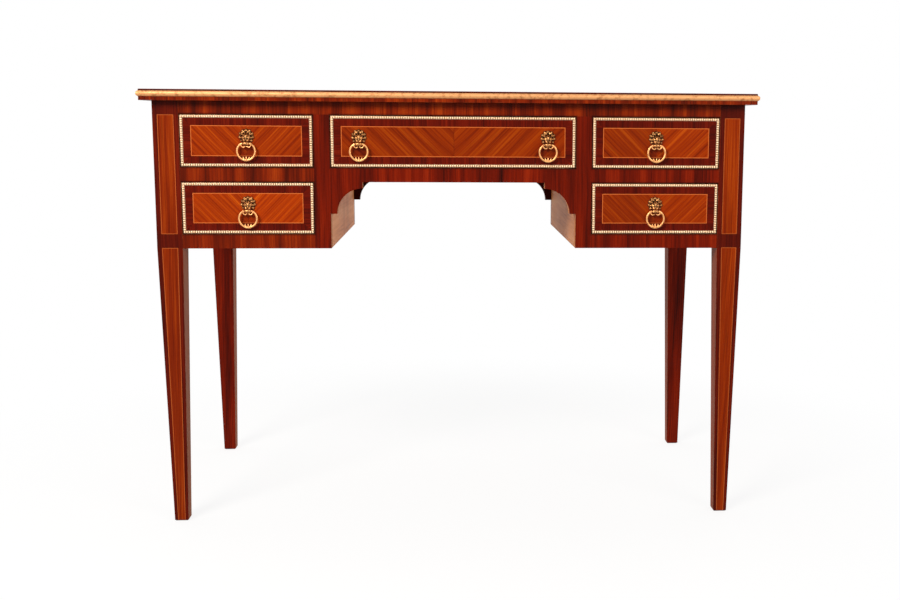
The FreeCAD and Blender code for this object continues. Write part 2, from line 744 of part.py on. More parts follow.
def make_beading(drawer):
    """Four mitred strips of moulding round the edge of the front."""
    x_low, x_high = drawer.x
    z_low, z_high = drawer.front_z
    half_width = f"(({x_high}) - ({x_low})) / 2"
    half_height = f"(({z_high}) - ({z_low})) / 2"
    edges = {
        "lower": (half_width, 0, (middle(drawer.x), z_low)),
        "left": (half_height, 90, (x_low, middle(drawer.front_z))),
        "upper": (half_width, 180, (middle(drawer.x), z_high)),
        "right": (half_height, 270, (x_high, middle(drawer.front_z))),
    }
    radius = "(bead_width / 2 + bead_flank)"
    strips = []
    for name, (half, angle, (x, z)) in edges.items():
        strips.append(mitred_rod(
            f"{drawer.name}_{name}_bead",
            (half, f"{half} - bead_width"),
            ("0", "bead_width"),
            ("-bead_seat", "bead_projection"),
            radius,
            ("bead_width / 2", f"bead_projection - {radius}"),
            Rotation(Vector(0, 1, 0), angle) * Rotation(Vector(1, 0, 0), 90),
            (x, DRAWER_FACE, z),
        ))
    return group(f"{drawer.name}_beading", strips)


# Lion masks and their rings

def mane(mask, name, width, depth, turn):
    """A flat star of locks about the head."""
    corners = []
    for index in range(2 * MANE_LOCKS):
        angle = f"({index} + {turn}) * 180 deg / {MANE_LOCKS}"
        reach = f"({width} / 2 - {index % 2} * lock_depth)"
        corners.append((f"{reach} * sin({angle})", f"{reach} * cos({angle})"))
    pad(mask, name, outline(mask, f"{name}Outline", "XZ_Plane", corners, "0"), depth)


def make_mask(label, x, hinge_z):
    """A lion's head cast on a post, with a jaw bored for the two pins of its ring."""
    mask = new_body(label)
    place(mask, x, DRAWER_FACE, f"{hinge_z} + mask_rise")
    mane(mask, "Mane", "mask_width", "mane_depth", 0)
    mane(mask, "InnerMane", "inner_mane_width", "inner_mane_depth", 1)
    boss(mask, "Head", ("0", "0"), ("head_width", "head_height"), "head_projection", "head_taper")
    boss(mask, "Muzzle", ("0", "-muzzle_drop"), ("muzzle_width", "muzzle_height"),
         "muzzle_projection", "muzzle_taper")
    for ear_x in ("-ear_spread / 2", "ear_spread / 2"):
        boss(mask, "Ear", (ear_x, "ear_rise"), ("ear_width", "ear_width"), "ear_projection", "ear_taper")
    block(mask, "Chin", ("-chin_width / 2", "chin_width / 2"), ("-hinge_standoff", "0"),
          ("-mask_rise - jaw_diameter / 2", "-mask_rise + jaw_diameter / 2"))
    prism(mask, "Jaw", "x", ("-jaw_width / 2", "-hinge_standoff", "-mask_rise"), BAR_SIDES,
          "jaw_diameter / 2", "jaw_width")
    cylinder(mask, "PinBore", "x", ("-jaw_width", "-hinge_standoff", "-mask_rise"),
             "pin_diameter / 2 + pin_clearance", "2 * jaw_width", cut=True)
    cylinder(mask, "Post", "y", ("0", "0", "0"), "post_diameter / 2", "drawer_front_thickness + post_tail")
    return mask


def make_ring(label, x, hinge_z):
    """A chamfered hoop, open at its crown for the jaw, with two pins and a thicker leaf at its foot."""
    ring = new_body(label)
    place(ring, x, HINGE_Y, hinge_z)
    drop = "(ring_radius - ring_rise)"
    prism(ring, "Hoop", "y", ("0", "-ring_wire / 2", f"-{drop}"), RING_SIDES,
          "ring_radius + ring_wire / 2", "ring_wire")
    prism(ring, "HoopInside", "y", ("0", "-ring_wire", f"-{drop}"), RING_SIDES,
          "ring_radius - ring_wire / 2", "2 * ring_wire", cut=True)
    face = value("ring_wire / 2")
    dress(ring, "Chamfer", "HoopEdges", "Size", "ring_chamfer",
          lambda edge: all(abs(vertex.Y) > face - 0.01 for vertex in edge.Vertexes)
          and edge.BoundBox.YLength < face)
    shoulder_x = f"sqrt(ring_radius ^ 2 - {drop} ^ 2)"
    crown = "(ring_wire / 2 + ring_crown)"
    block(ring, "CrownCut", ("-2 * ring_radius", "2 * ring_radius"), ("-ring_wire", "ring_wire"),
          (crown, "2 * ring_radius"), cut=True)
    block(ring, "JawCut", (f"-{shoulder_x}", shoulder_x), ("-ring_wire", "ring_wire"),
          (f"-{crown}", "2 * ring_radius"), cut=True)
    prism(ring, "Leaf", "x", ("-ring_leaf_length / 2", "0", f"-{drop} - ring_radius"), BAR_SIDES,
          "ring_leaf_wire / 2", "ring_leaf_length")
    shank_x = "(jaw_width / 2 + ring_jaw_gap)"
    for side in (-1, 1):
        shank = across(side, shank_x, f"{shoulder_x} + ring_crown")
        prism(ring, "Shank", "x", (shank[0], "0", "0"), BAR_SIDES, "ring_wire / 2",
              f"{shoulder_x} + ring_crown - {shank_x}")
        pin = across(side, "pin_gap / 2", shank_x)
        cylinder(ring, "Pin", "x", (pin[0], "0", "0"), "pin_diameter / 2", f"{shank_x} - pin_gap / 2")
    return ring


def make_drawers():
    left = across(-1, STILE_OUT, LEG_IN)
    right = across(1, STILE_OUT, LEG_IN)
    centre = (f"-{KNEE_IN}", KNEE_IN)
    centre_pulls = {"left": f"-({KNEE_IN} - pull_inset)", "right": f"{KNEE_IN} - pull_inset"}
    drawers = [
        Drawer("upper_left", left, UPPER_SILL, {"": middle(left)}),
        Drawer("lower_left", left, LOWER_SILL, {"": middle(left)}),
        Drawer("centre", centre, UPPER_SILL, centre_pulls),
        Drawer("upper_right", right, UPPER_SILL, {"": middle(right)}),
        Drawer("lower_right", right, LOWER_SILL, {"": middle(right)}),
    ]
    nodes = []
    for drawer in drawers:
        for make in (make_drawer_front, make_drawer_box, make_drawer_bottom, make_beading):
            nodes.append(make(drawer))
        for place_name, x in drawer.pulls.items():
            name = "_".join(filter(None, (drawer.name, place_name)))
            nodes.append(make_mask(f"{name}_mask", x, drawer.hinge_z))
            nodes.append(make_ring(f"{name}_ring", x, drawer.hinge_z))
    return nodes


def make_frame():
    nodes = make_top()
    for end_name, end in {"front": -1, "rear": 1}.items():
        for side_name, side in SIDES.items():
            nodes.append(make_leg(side_name, side, end_name, end))
    nodes += [make_top_rail(), make_front_apron(), make_rear_apron()]
    for name, side in SIDES.items():
        nodes.append(make_stile(name, side))
        beside_drawers = across(side, STILE_OUT, LEG_IN)
        nodes.append(make_rail(f"{name}_middle_rail", beside_drawers, RAIL_HEIGHTS["Middle"]))
        nodes.append(make_bottom_rail(name, side))
        nodes.append(make_end_panel(name, side))
        nodes.append(make_back_panel(name, side))
        nodes.append(make_knee_panel(name, side))
        nodes.append(make_case_bottom(name, side))
        nodes.append(make_side_runners(name, side))
    nodes += [make_centre_runners(), make_kickers()]
    return nodes


def check(nodes):
    for feature in doc.Objects:
        if {"Invalid", "Error"} & set(feature.State):
            raise RuntimeError(f"{feature.Label} did not build")
    for node in nodes:
        if node.Shape.isNull() or not node.Shape.isValid() or not node.Shape.Solids:
            raise RuntimeError(f"{node.Label} has no valid solid")


nodes = make_frame() + make_drawers()
doc.recompute()
check(nodes)
os.makedirs("parts", exist_ok=True)
for node in nodes:
    node.Shape.exportStep(f"parts/{node.Label}.step")
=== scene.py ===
import math

import bpy
import numpy as np
from mathutils import Matrix, Vector


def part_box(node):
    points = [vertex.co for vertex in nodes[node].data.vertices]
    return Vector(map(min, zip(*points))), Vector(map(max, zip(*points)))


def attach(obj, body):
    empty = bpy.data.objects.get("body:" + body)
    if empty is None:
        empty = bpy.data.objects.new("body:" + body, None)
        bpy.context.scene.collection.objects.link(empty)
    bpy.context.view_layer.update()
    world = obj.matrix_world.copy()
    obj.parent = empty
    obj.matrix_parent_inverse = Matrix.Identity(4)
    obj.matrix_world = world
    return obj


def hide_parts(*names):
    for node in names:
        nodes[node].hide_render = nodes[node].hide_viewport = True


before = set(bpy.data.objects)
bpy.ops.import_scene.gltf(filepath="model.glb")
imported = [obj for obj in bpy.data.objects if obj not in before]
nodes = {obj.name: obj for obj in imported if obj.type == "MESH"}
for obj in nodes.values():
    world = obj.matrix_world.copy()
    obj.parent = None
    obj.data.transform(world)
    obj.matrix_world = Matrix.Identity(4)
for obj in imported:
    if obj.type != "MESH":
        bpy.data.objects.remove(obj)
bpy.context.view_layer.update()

MM = 0.001
DRAWERS = ("upper_left", "lower_left", "centre", "upper_right", "lower_right")
# Each pull and the drawer that carries it
PULLS = {
    "upper_left": "upper_left",
    "lower_left": "lower_left",
    "centre_left": "centre",
    "centre_right": "centre",
    "upper_right": "upper_right",
    "lower_right": "lower_right",
}


def tone(red, green, blue):
    """A display colour as linear light."""
    channels = [c / 255 for c in (red, green, blue)]
    return tuple(c / 12.92 if c < 0.04 else ((c + 0.055) / 1.055) ** 2.4 for c in channels) + (1.0,)


# Woods and leather, as colours from the dark to the light of their grain

KINGWOOD = [
    (0.30, tone(42, 7, 1)),
    (0.42, tone(90, 20, 2)),
    (0.53, tone(124, 33, 4)),
    (0.68, tone(164, 60, 12)),
]
ROSEWOOD = [
    (0.30, tone(38, 5, 1)),
    (0.42, tone(84, 13, 1)),
    (0.53, tone(116, 23, 2)),
    (0.68, tone(148, 40, 8)),
]
CROSSBAND = [
    (0.30, tone(52, 6, 1)),
    (0.44, tone(82, 12, 1)),
    (0.54, tone(98, 17, 2)),
    (0.70, tone(124, 29, 6)),
]
TULIPWOOD = [
    (0.30, tone(92, 20, 1)),
    (0.42, tone(138, 40, 2)),
    (0.53, tone(160, 54, 3)),
    (0.68, tone(196, 86, 12)),
]
CHEEK = [
    (0.30, tone(178, 104, 56)),
    (0.44, tone(208, 134, 80)),
    (0.55, tone(222, 150, 94)),
    (0.72, tone(234, 172, 116)),
]
OAK = [
    (0.28, tone(136, 84, 44)),
    (0.44, tone(176, 120, 68)),
    (0.56, tone(192, 138, 82)),
    (0.74, tone(210, 160, 104)),
]
CORE = [
    (0.28, tone(88, 48, 24)),
    (0.44, tone(122, 72, 38)),
    (0.56, tone(140, 86, 48)),
    (0.74, tone(160, 104, 62)),
]
LEATHER = [
    (0.30, tone(52, 22, 12)),
    (0.50, tone(74, 32, 18)),
    (0.75, tone(96, 46, 27)),
]
STRINGING = tone(204, 104, 48)
JOINT_AND_SHADE = tone(40, 8, 5)
WORN = tone(190, 112, 66)
RING_DIRT_AND_SHADOW = tone(70, 12, 4)
APRON_SHADE = tone(24, 4, 3)
LEG_BORDER = tone(52, 8, 3)
LEG_BLOCK = tone(60, 10, 3)
TOOLED_GILT = tone(206, 158, 78)

# Brightness of the left and the right leaf of veneer on each drawer front: the tone of each front, with
# painted light and shade that makes one leaf brighter than the other as the light falls on it
LEAF_TONE_AND_LIGHT = {
    "upper_left": (0.97, 0.93),
    "lower_left": (1.04, 1.16),
    "centre": (0.78, 0.82),
    "upper_right": (0.80, 1.04),
    "lower_right": (0.82, 1.06),
}
# Painted light and shade on the two cheeks of the kneehole, the left one lit and the right one in shade
CHEEK_LIGHT = {"left": 1.22, "right": 0.85}
# Legs on the left (-1) and the right (1): tint of their panels, and share of bare wood on the inner side,
# more on the left as painted sheen
LEG_TINTS = {-1: (0.68, 0.60, 0.9, 1.0), 1: (0.88, 0.84, 0.95, 1.0)}
LEG_BARE_AND_SHEEN = {-1: 0.3, 1: 0.15}

# Grain: repeats to a metre along and across the wood, its sway in metres, and the strength of its marks
SWAY_LENGTH = 4.0
SWAY_BREADTH = 9.0
SWAY_REACH = 0.012
BAND_LENGTH = 2.2
LINE_LENGTH = 7.0
LINES_TO_A_BAND = 7
VEIN_LENGTH = 5.0
VEINS_TO_A_BAND = 3.4
PORE_LENGTH = 90.0
PORE_BREADTH = 2400.0
VEIN_DARKNESS = 0.45
PORE_DARKNESS = 0.28
FIELD_BANDS = 105.0
BORDER_BANDS = 60.0
UPRIGHT_BANDS = 46.0
UPRIGHT_LINES = 0.32
LENGTHWISE_BANDS = 55.0
TOP_BANDS = 48.0
LEG_BANDS = 60.0
LEG_FIELD_BANDS = 80.0

# Polish, and the rounding of edges in metres
POLISH_ROUGHNESS = (0.19, 0.31)
DULL_ROUGHNESS = 0.4
POLISH_SPECULAR = 0.06
BRASS_SPECULAR = 0.15
ARRIS = 0.0006
WORN_ARRIS = 0.0014

# Veneer work, in metres: thickness, borders, lines and joints, and the reach of the painted shade round
# drawer openings and of the dirt and painted shadow round the rings
VENEER = 0.0013
DRAWER_BORDER = 0.0185
PANEL_BORDER = 0.026
FIELD_LINE = 0.0013
LEAF_JOINT = 0.0007
LEAF_SHIFT = 0.004
BORDER_MITRE = 0.0006
MITRE_BLUR = 0.0002
RIM_SHADE_REACH = (0.0012, 0.0052)
RING_DIRT_AND_SHADOW_REACH = (0.009, 0.019)
# Slope of the chevrons in the drawer fronts
DIAGONAL = 0.7071

# Legs, in metres: half their width at the floor, the height where the taper ends, and their panels
LEG_FOOT = 0.012
LEG_TAPER = 0.493
LEG_UPPER_PANEL = (0.5185, 0.722)
LEG_LOWER_PANEL = 0.4935
LEG_MARGIN_FOOT = 0.006
LEG_MARGIN = 0.0086
LEG_LINE = 0.0012

# Top and its leather, in metres in from the edge: places and widths of the light line and the tooled lines
TOP_LINE = (0.054, 0.0016)
TOP_MITRE = 0.0008
TOP_LIP = 0.0031
TOOLED_LINES = [(0.0115, 0.0010), (0.0215, 0.0010), (0.0245, 0.0005)]
SCROLL_LINE = (0.0165, 0.0011)
SCROLL_LENGTH = 0.012
SCROLL_HEIGHT = 0.0022


# Shaders

class Shader:
    """A surface described in the piece's own coordinates, in metres."""

    def __init__(self, name):
        self.material = bpy.data.materials.new(name)
        self.material.use_nodes = True
        self.tree = self.material.node_tree
        self.tree.nodes.clear()
        coordinates = self.add("ShaderNodeTexCoord")
        self.position = coordinates.outputs["Object"]
        self.x, self.y, self.z = self.split(self.position)
        self.nx, self.ny, self.nz = self.split(coordinates.outputs["Normal"])

    def add(self, kind, settings=None, inputs=None):
        node = self.tree.nodes.new(kind)
        for key, value in (settings or {}).items():
            setattr(node, key, value)
        for key, value in (inputs or {}).items():
            self.feed(node.inputs[key], value)
        return node

    def feed(self, socket, value):
        if isinstance(value, bpy.types.NodeSocket):
            self.tree.links.new(value, socket)
        else:
            socket.default_value = value

    def split(self, vector):
        return self.add("ShaderNodeSeparateXYZ", inputs={0: vector}).outputs

    def join(self, x, y, z):
        return self.add("ShaderNodeCombineXYZ", inputs={0: x, 1: y, 2: z}).outputs[0]

    def distance(self, vector):
        return self.add("ShaderNodeVectorMath", {"operation": "LENGTH"}, {0: vector}).outputs["Value"]

    def math(self, operation, *values):
        return self.add("ShaderNodeMath", {"operation": operation}, dict(enumerate(values))).outputs[0]

    def plus(self, first, second):
        return self.math("ADD", first, second)

    def minus(self, first, second):
        return self.math("SUBTRACT", first, second)

    def times(self, first, second):
        return self.math("MULTIPLY", first, second)

    def least(self, first, second):
        return self.math("MINIMUM", first, second)

    def most(self, first, second):
        return self.math("MAXIMUM", first, second)

    def size(self, value):
        return self.math("ABSOLUTE", value)

    def step(self, value, low, high):
        """0 below low, 1 above high, smooth between them."""
        ends = {"From Min": low, "From Max": high, "To Min": 0.0, "To Max": 1.0, "Value": value}
        return self.add("ShaderNodeMapRange", {"interpolation_type": "SMOOTHSTEP"}, ends).outputs[0]

    def past(self, value, edge, blur):
        """0 before an edge, 1 past it."""
        return self.step(value, edge - blur / 2, edge + blur / 2)

    def facing(self, normal_part):
        """1 on the faces whose normal points that way."""
        return self.step(normal_part, 0.5, 0.6)

    def line(self, value, centre, width):
        """1 on a line of that width where the value meets the centre."""
        return self.minus(1.0, self.past(self.size(self.minus(value, centre)), width / 2, width * 0.24))

    def choose(self, factor, first, second):
        """The first number where the factor is 0, the second where it is 1."""
        ends = {"From Min": 0.0, "From Max": 1.0, "To Min": first, "To Max": second, "Value": factor}
        return self.add("ShaderNodeMapRange", {}, ends).outputs[0]

    def mix(self, factor, first, second, blend="MIX"):
        node = self.add("ShaderNodeMix", {"data_type": "RGBA", "blend_type": blend})
        for index, value in zip((0, 6, 7), (factor, first, second)):
            self.feed(node.inputs[index], value)
        return node.outputs[2]

    def noise(self, vector, scale=1.0, detail=3.0, roughness=0.55):
        inputs = {"Vector": vector, "Scale": scale, "Detail": detail, "Roughness": roughness}
        return self.add("ShaderNodeTexNoise", inputs=inputs).outputs["Fac"]

    def ramp(self, factor, stops):
        node = self.add("ShaderNodeValToRGB", inputs={"Fac": factor})
        elements = node.color_ramp.elements
        while len(elements) < len(stops):
            elements.new(0.5)
        for element, (place, colour) in zip(elements, stops):
            element.position = place
            element.color = colour
        return node.outputs["Color"]

    def rounded(self, radius):
        """The normal with the edges rounded off."""
        return self.add("ShaderNodeBevel", {"samples": 4}, {"Radius": radius}).outputs[0]

    def finish(self, colour, height, bump, relief, bevel=ARRIS, **surface):
        raised = {"Strength": bump, "Distance": relief, "Height": height}
        if bevel:
            raised["Normal"] = self.rounded(bevel)
        inputs = {"Base Color": colour, "Normal": self.add("ShaderNodeBump", inputs=raised).outputs[0]}
        for key, value in surface.items():
            inputs[key.replace("_", " ").title().replace("Ior", "IOR")] = value
        principled = self.add("ShaderNodeBsdfPrincipled", inputs=inputs)
        return self.show(principled)

    def show(self, surface):
        output = self.add("ShaderNodeOutputMaterial")
        self.tree.links.new(surface.outputs[0], output.inputs["Surface"])
        return self.material


def middle_half(box):
    """The middle of a box, and half its size."""
    low, high = box
    return (low + high) / 2, (high - low) / 2


def wood(shader, along, across, depth, stops, coarse=LENGTHWISE_BANDS, seed=0.0, fine=0.5):
    """Colour and relief of a cut of wood, from the directions along and across its grain.

    coarse is the number of bands to a metre, and fine is the share of thin lines in the colour.
    """
    dark = stops[0][1]
    shifted = shader.plus(across, seed)
    sway = shader.join(shader.times(along, SWAY_LENGTH), shader.times(shifted, SWAY_BREADTH), seed)
    bent = shader.plus(shifted, shader.times(shader.noise(sway, detail=2.0), SWAY_REACH))

    def grain(length, breadth):
        return shader.join(
            shader.times(along, length),
            shader.times(bent, breadth),
            shader.times(depth, breadth),
        )

    band = shader.noise(grain(BAND_LENGTH, coarse), roughness=0.6)
    line = shader.noise(grain(LINE_LENGTH, coarse * LINES_TO_A_BAND), roughness=0.6)
    pore = shader.noise(grain(PORE_LENGTH, PORE_BREADTH), detail=1.0)
    colour = shader.ramp(shader.plus(shader.times(band, 1.0 - fine), shader.times(line, fine)), stops)
    streaks = shader.join(
        shader.times(along, VEIN_LENGTH),
        shader.times(bent, coarse * VEINS_TO_A_BAND),
        shader.plus(depth, seed),
    )
    vein = shader.step(shader.noise(streaks, detail=2.0, roughness=0.7), 0.56, 0.70)
    colour = shader.mix(shader.times(vein, VEIN_DARKNESS), colour, dark)
    dots = shader.step(pore, 0.60, 0.70)
    colour = shader.mix(shader.times(dots, PORE_DARKNESS), colour, dark)
    height = shader.minus(shader.times(line, 0.25), shader.times(dots, 0.6))
    return colour, height


def rubbed(shader):
    """1 in patches along the edges of a solid, where hands and feet have worn the polish."""
    flat = shader.add("ShaderNodeNewGeometry").outputs["Normal"]
    normals = {0: shader.rounded(WORN_ARRIS), 1: flat}
    likeness = shader.add("ShaderNodeVectorMath", {"operation": "DOT_PRODUCT"}, normals).outputs["Value"]
    edge = shader.minus(1.0, shader.step(likeness, 0.80, 0.98))
    patches = shader.step(shader.noise(shader.position, scale=55.0, detail=4.0), 0.42, 0.62)
    return shader.times(edge, patches)


def polished(shader, colour, height, dull=0.0, wear=0.0):
    """A French-polished surface, rougher where it is dull and paler where its edges are worn."""
    if wear:
        colour = shader.mix(shader.times(rubbed(shader), wear), colour, WORN)
    gloss = shader.choose(shader.noise(shader.position, scale=14.0), *POLISH_ROUGHNESS)
    return shader.finish(
        colour,
        height,
        bump=0.12,
        relief=0.00015,
        roughness=shader.plus(gloss, shader.times(dull, DULL_ROUGHNESS)),
        specular_ior_level=POLISH_SPECULAR,
    )


def inlaid(shader, lateral, upright, depth, half, border, stops, seed, chevron=False, leaves=(1.0, 0.9)):
    """A field of two matched leaves inside a light line and a crossbanded border, about a panel's middle,
    each leaf with its own painted light and shade.
    """
    half_width, half_height = half
    aside = shader.size(lateral)
    from_end = shader.minus(half_width, aside)
    from_long = shader.minus(half_height, shader.size(upright))
    from_mitre = shader.minus(from_long, from_end)
    edge = shader.least(from_end, from_long)
    along = upright
    across = aside
    if chevron:
        along = shader.times(shader.plus(aside, upright), DIAGONAL)
        across = shader.times(shader.minus(aside, upright), DIAGONAL)
    leaf = shader.math("SIGN", lateral)
    across = shader.plus(across, shader.times(leaf, LEAF_SHIFT))
    field, field_relief = wood(shader, along, across, depth, stops, FIELD_BANDS, seed)
    # Painted light and shade: each leaf brighter or darker by how the light falls on it
    sheen = shader.choose(shader.past(leaf, 0.0, 0.2), *leaves)
    field = shader.mix(1.0, field, shader.join(sheen, sheen, sheen), "MULTIPLY")
    field = shader.mix(shader.times(shader.line(aside, 0.0, LEAF_JOINT), 0.55), field, JOINT_AND_SHADE)
    at_end = shader.past(from_mitre, 0.0, MITRE_BLUR)
    border_along = shader.choose(at_end, upright, lateral)
    border_across = shader.choose(at_end, lateral, upright)
    band, band_relief = wood(shader, border_along, border_across, depth, CROSSBAND, BORDER_BANDS, seed + 3.1)
    band = shader.mix(shader.times(shader.line(from_mitre, 0.0, BORDER_MITRE), 0.5), band, JOINT_AND_SHADE)
    inside = shader.past(edge, border, 0.0001)
    colour = shader.mix(inside, band, field)
    colour = shader.mix(shader.line(edge, border, FIELD_LINE), colour, STRINGING)
    return colour, shader.choose(inside, band_relief, field_relief)


def drawer_front_material(drawer):
    """Inlaid veneer, darkened behind the rings by dirt and a painted shadow of the ring, on a plain core."""
    low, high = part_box(f"{drawer}_front")
    middle, half = middle_half((low, high))
    shader = Shader(f"{drawer}_front_veneer")
    lateral = shader.minus(shader.x, middle.x)
    upright = shader.minus(shader.z, middle.z)
    seed = 1.0 + 2.3 * DRAWERS.index(drawer)
    extent = (half.x, half.z)
    leaves = LEAF_TONE_AND_LIGHT[drawer]
    colour, height = inlaid(
        shader, lateral, upright, shader.y, extent, DRAWER_BORDER, TULIPWOOD, seed, True, leaves
    )
    # Dirt and a painted shadow of the ring darken the front round each pull
    for pull in (name for name, owner in PULLS.items() if owner == drawer):
        centre, _ = middle_half(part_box(f"{pull}_ring"))
        offset = shader.join(shader.minus(shader.x, centre.x), 0.0, shader.minus(shader.z, centre.z))
        fade = shader.step(shader.distance(offset), *RING_DIRT_AND_SHADOW_REACH)
        colour = shader.mix(shader.choose(fade, 0.42, 0.0), colour, RING_DIRT_AND_SHADOW)
    core, core_relief = wood(shader, shader.x, shader.z, shader.y, CORE, seed=seed)
    behind = shader.past(shader.y, low.y + VENEER, 0.0002)
    colour = shader.mix(behind, colour, core)
    return polished(shader, colour, shader.choose(behind, height, core_relief), behind)


def panel_material(node, across_x):
    """Inlaid veneer on a panel that lies across the desk or along its end."""
    middle, half = middle_half(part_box(node))
    shader = Shader(f"{node}_veneer")
    upright = shader.minus(shader.z, middle.z)
    if across_x:
        lateral = shader.minus(shader.x, middle.x)
        depth = shader.y
        extent = (half.x, half.z)
    else:
        lateral = shader.minus(shader.y, middle.y)
        depth = shader.x
        extent = (half.y, half.z)
    seed = 11.0 + middle.x
    colour, height = inlaid(shader, lateral, upright, depth, extent, PANEL_BORDER, KINGWOOD, seed)
    return polished(shader, colour, height)


def drawer_rim_shade(shader):
    """Painted shade at the rim of a drawer's opening: 1 at the rim, 0 a few millimetres away from it."""
    nearest = 1.0
    for drawer in DRAWERS:
        middle, half = middle_half(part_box(f"{drawer}_front"))
        beside = shader.minus(shader.size(shader.minus(shader.x, middle.x)), half.x)
        above = shader.minus(shader.size(shader.minus(shader.z, middle.z)), half.z)
        nearest = shader.least(nearest, shader.most(beside, above))
    return shader.minus(1.0, shader.step(nearest, *RIM_SHADE_REACH))


def upright_material(name, stops, seed):
    """Upright veneer on a bare edge, with painted shade round the drawer openings."""
    shader = Shader(name)
    across = shader.plus(shader.x, shader.y)
    colour, height = wood(shader, shader.z, across, 0.0, stops, UPRIGHT_BANDS, seed, UPRIGHT_LINES)
    bare, _ = wood(shader, shader.z, across, 0.0, CHEEK, UPRIGHT_BANDS, seed + 0.7, UPRIGHT_LINES)
    edge = shader.minus(1.0, shader.facing(shader.size(shader.ny)))
    colour = shader.mix(shader.times(edge, 0.8), colour, bare)
    # Painted shade along the gaps round the drawers, in the dark colour of the joints
    colour = shader.mix(shader.times(drawer_rim_shade(shader), 0.6), colour, JOINT_AND_SHADE)
    return polished(shader, colour, height, edge)


def rear_apron_material():
    """Veneered behind, with painted shade on the face towards the knees, which lies in the kneehole's shadow.
    """
    shader = Shader("rear_apron_veneer")
    across = shader.plus(shader.x, shader.y)
    colour, height = wood(shader, shader.z, across, 0.0, KINGWOOD, UPRIGHT_BANDS, 6.4, UPRIGHT_LINES)
    knees = shader.facing(shader.times(shader.ny, -1.0))
    # Painted shade on the face towards the knees
    colour = shader.mix(shader.times(knees, 0.8), colour, APRON_SHADE)
    return polished(shader, colour, height, knees)


def lengthwise_material(name, stops, seed, dull=1.0, light=1.0):
    """Wood with its grain running from front to back, mostly left unpolished."""
    shader = Shader(name)
    # light paints light and shade into the wood's colour
    stops = [(place, tuple(light * c for c in colour[:3]) + (1.0,)) for place, colour in stops]
    colour, height = wood(shader, shader.y, shader.x, shader.z, stops, LENGTHWISE_BANDS, seed)
    return polished(shader, colour, height, dull, wear=0.2)


def leg_material(node, side, end):
    """Panels of light veneer in a light line on a leg's two outer faces, and barer wood on its inner side."""
    middle, half = middle_half(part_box(node))
    shader = Shader(f"{node}_veneer")
    on_end = shader.facing(shader.times(shader.ny, end))
    on_side = shader.facing(shader.times(shader.nx, side))
    inner = shader.facing(shader.times(shader.nx, -side))
    shown = shader.most(on_end, on_side)
    widening = shader.times(shader.z, (half.x - LEG_FOOT) / LEG_TAPER)
    spread = shader.least(half.x, shader.plus(LEG_FOOT, widening))
    lateral = shader.choose(on_side, shader.minus(shader.x, middle.x), shader.minus(shader.y, middle.y))
    from_side = shader.minus(spread, shader.size(lateral))
    foot, head = LEG_UPPER_PANEL
    upper = shader.least(shader.minus(shader.z, foot), shader.minus(head, shader.z))
    within = shader.most(upper, shader.minus(LEG_LOWER_PANEL, shader.z))
    growth = shader.times(shader.z, (LEG_MARGIN - LEG_MARGIN_FOOT) / LEG_TAPER)
    margin = shader.least(LEG_MARGIN, shader.plus(LEG_MARGIN_FOOT, growth))
    inset = shader.least(shader.minus(from_side, margin), within)
    across = shader.plus(shader.x, shader.times(shader.y, 1.3))
    plain, plain_relief = wood(shader, shader.z, across, 0.0, ROSEWOOD, LEG_BANDS, 5.0 + middle.x)
    plain = shader.mix(shader.times(shown, 0.4), plain, LEG_BORDER)
    field, field_relief = wood(shader, shader.z, across, 0.0, TULIPWOOD, LEG_FIELD_BANDS, 7.0 + middle.x)
    field = shader.mix(1.0, field, LEG_TINTS[side], "MULTIPLY")
    inside = shader.times(shown, shader.past(inset, 0.0, 0.0001))
    colour = shader.mix(inside, plain, field)
    string = shader.times(shader.line(inset, 0.0, LEG_LINE), 0.62)
    colour = shader.mix(shader.times(shown, string), colour, STRINGING)
    block = shader.times(shader.minus(1.0, shader.past(within, -0.0001, 0.0002)), 0.35)
    colour = shader.mix(shader.times(shown, block), colour, LEG_BLOCK)
    bare, _ = wood(shader, shader.z, across, 0.0, CHEEK, LEG_BANDS, 9.0 + middle.x)
    # Bare wood on the inner side, with more on the left legs as painted sheen
    colour = shader.mix(shader.times(inner, LEG_BARE_AND_SHEEN[side]), colour, bare)
    relief = shader.choose(inside, plain_relief, field_relief)
    return polished(shader, colour, relief, shader.times(inner, 0.75), wear=0.4)


def top_margins(shader, high):
    """How far in a place on the top lies from its ends and from its long sides."""
    from_end = shader.minus(high.x, shader.size(shader.x))
    from_long = shader.minus(high.y, shader.size(shader.y))
    return from_end, from_long


def top_material():
    """A border of veneer with mitred corners and a light line, and a dark line round its upper rim."""
    _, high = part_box("top_board")
    shader = Shader("top_veneer")
    from_end, from_long = top_margins(shader, high)
    from_mitre = shader.minus(from_long, from_end)
    at_end = shader.past(from_mitre, 0.0, MITRE_BLUR)
    on_top = shader.facing(shader.nz)
    along = shader.choose(on_top, shader.z, shader.choose(at_end, shader.y, shader.x))
    across = shader.choose(at_end, shader.x, shader.y)
    colour, height = wood(shader, along, across, 0.0, KINGWOOD, TOP_BANDS, 2.0)
    upper = shader.past(shader.z, high.z - 0.0002, 0.0002)
    string = shader.line(shader.least(from_end, from_long), *TOP_LINE)
    colour = shader.mix(shader.times(upper, string), colour, STRINGING)
    mitre = shader.times(shader.line(from_mitre, 0.0, TOP_MITRE), 0.6)
    colour = shader.mix(shader.times(upper, mitre), colour, JOINT_AND_SHADE)
    lip = shader.times(shader.minus(1.0, on_top), shader.past(shader.z, high.z - TOP_LIP, 0.0006))
    colour = shader.mix(shader.times(lip, 0.7), colour, JOINT_AND_SHADE)
    return polished(shader, colour, height, wear=0.35)


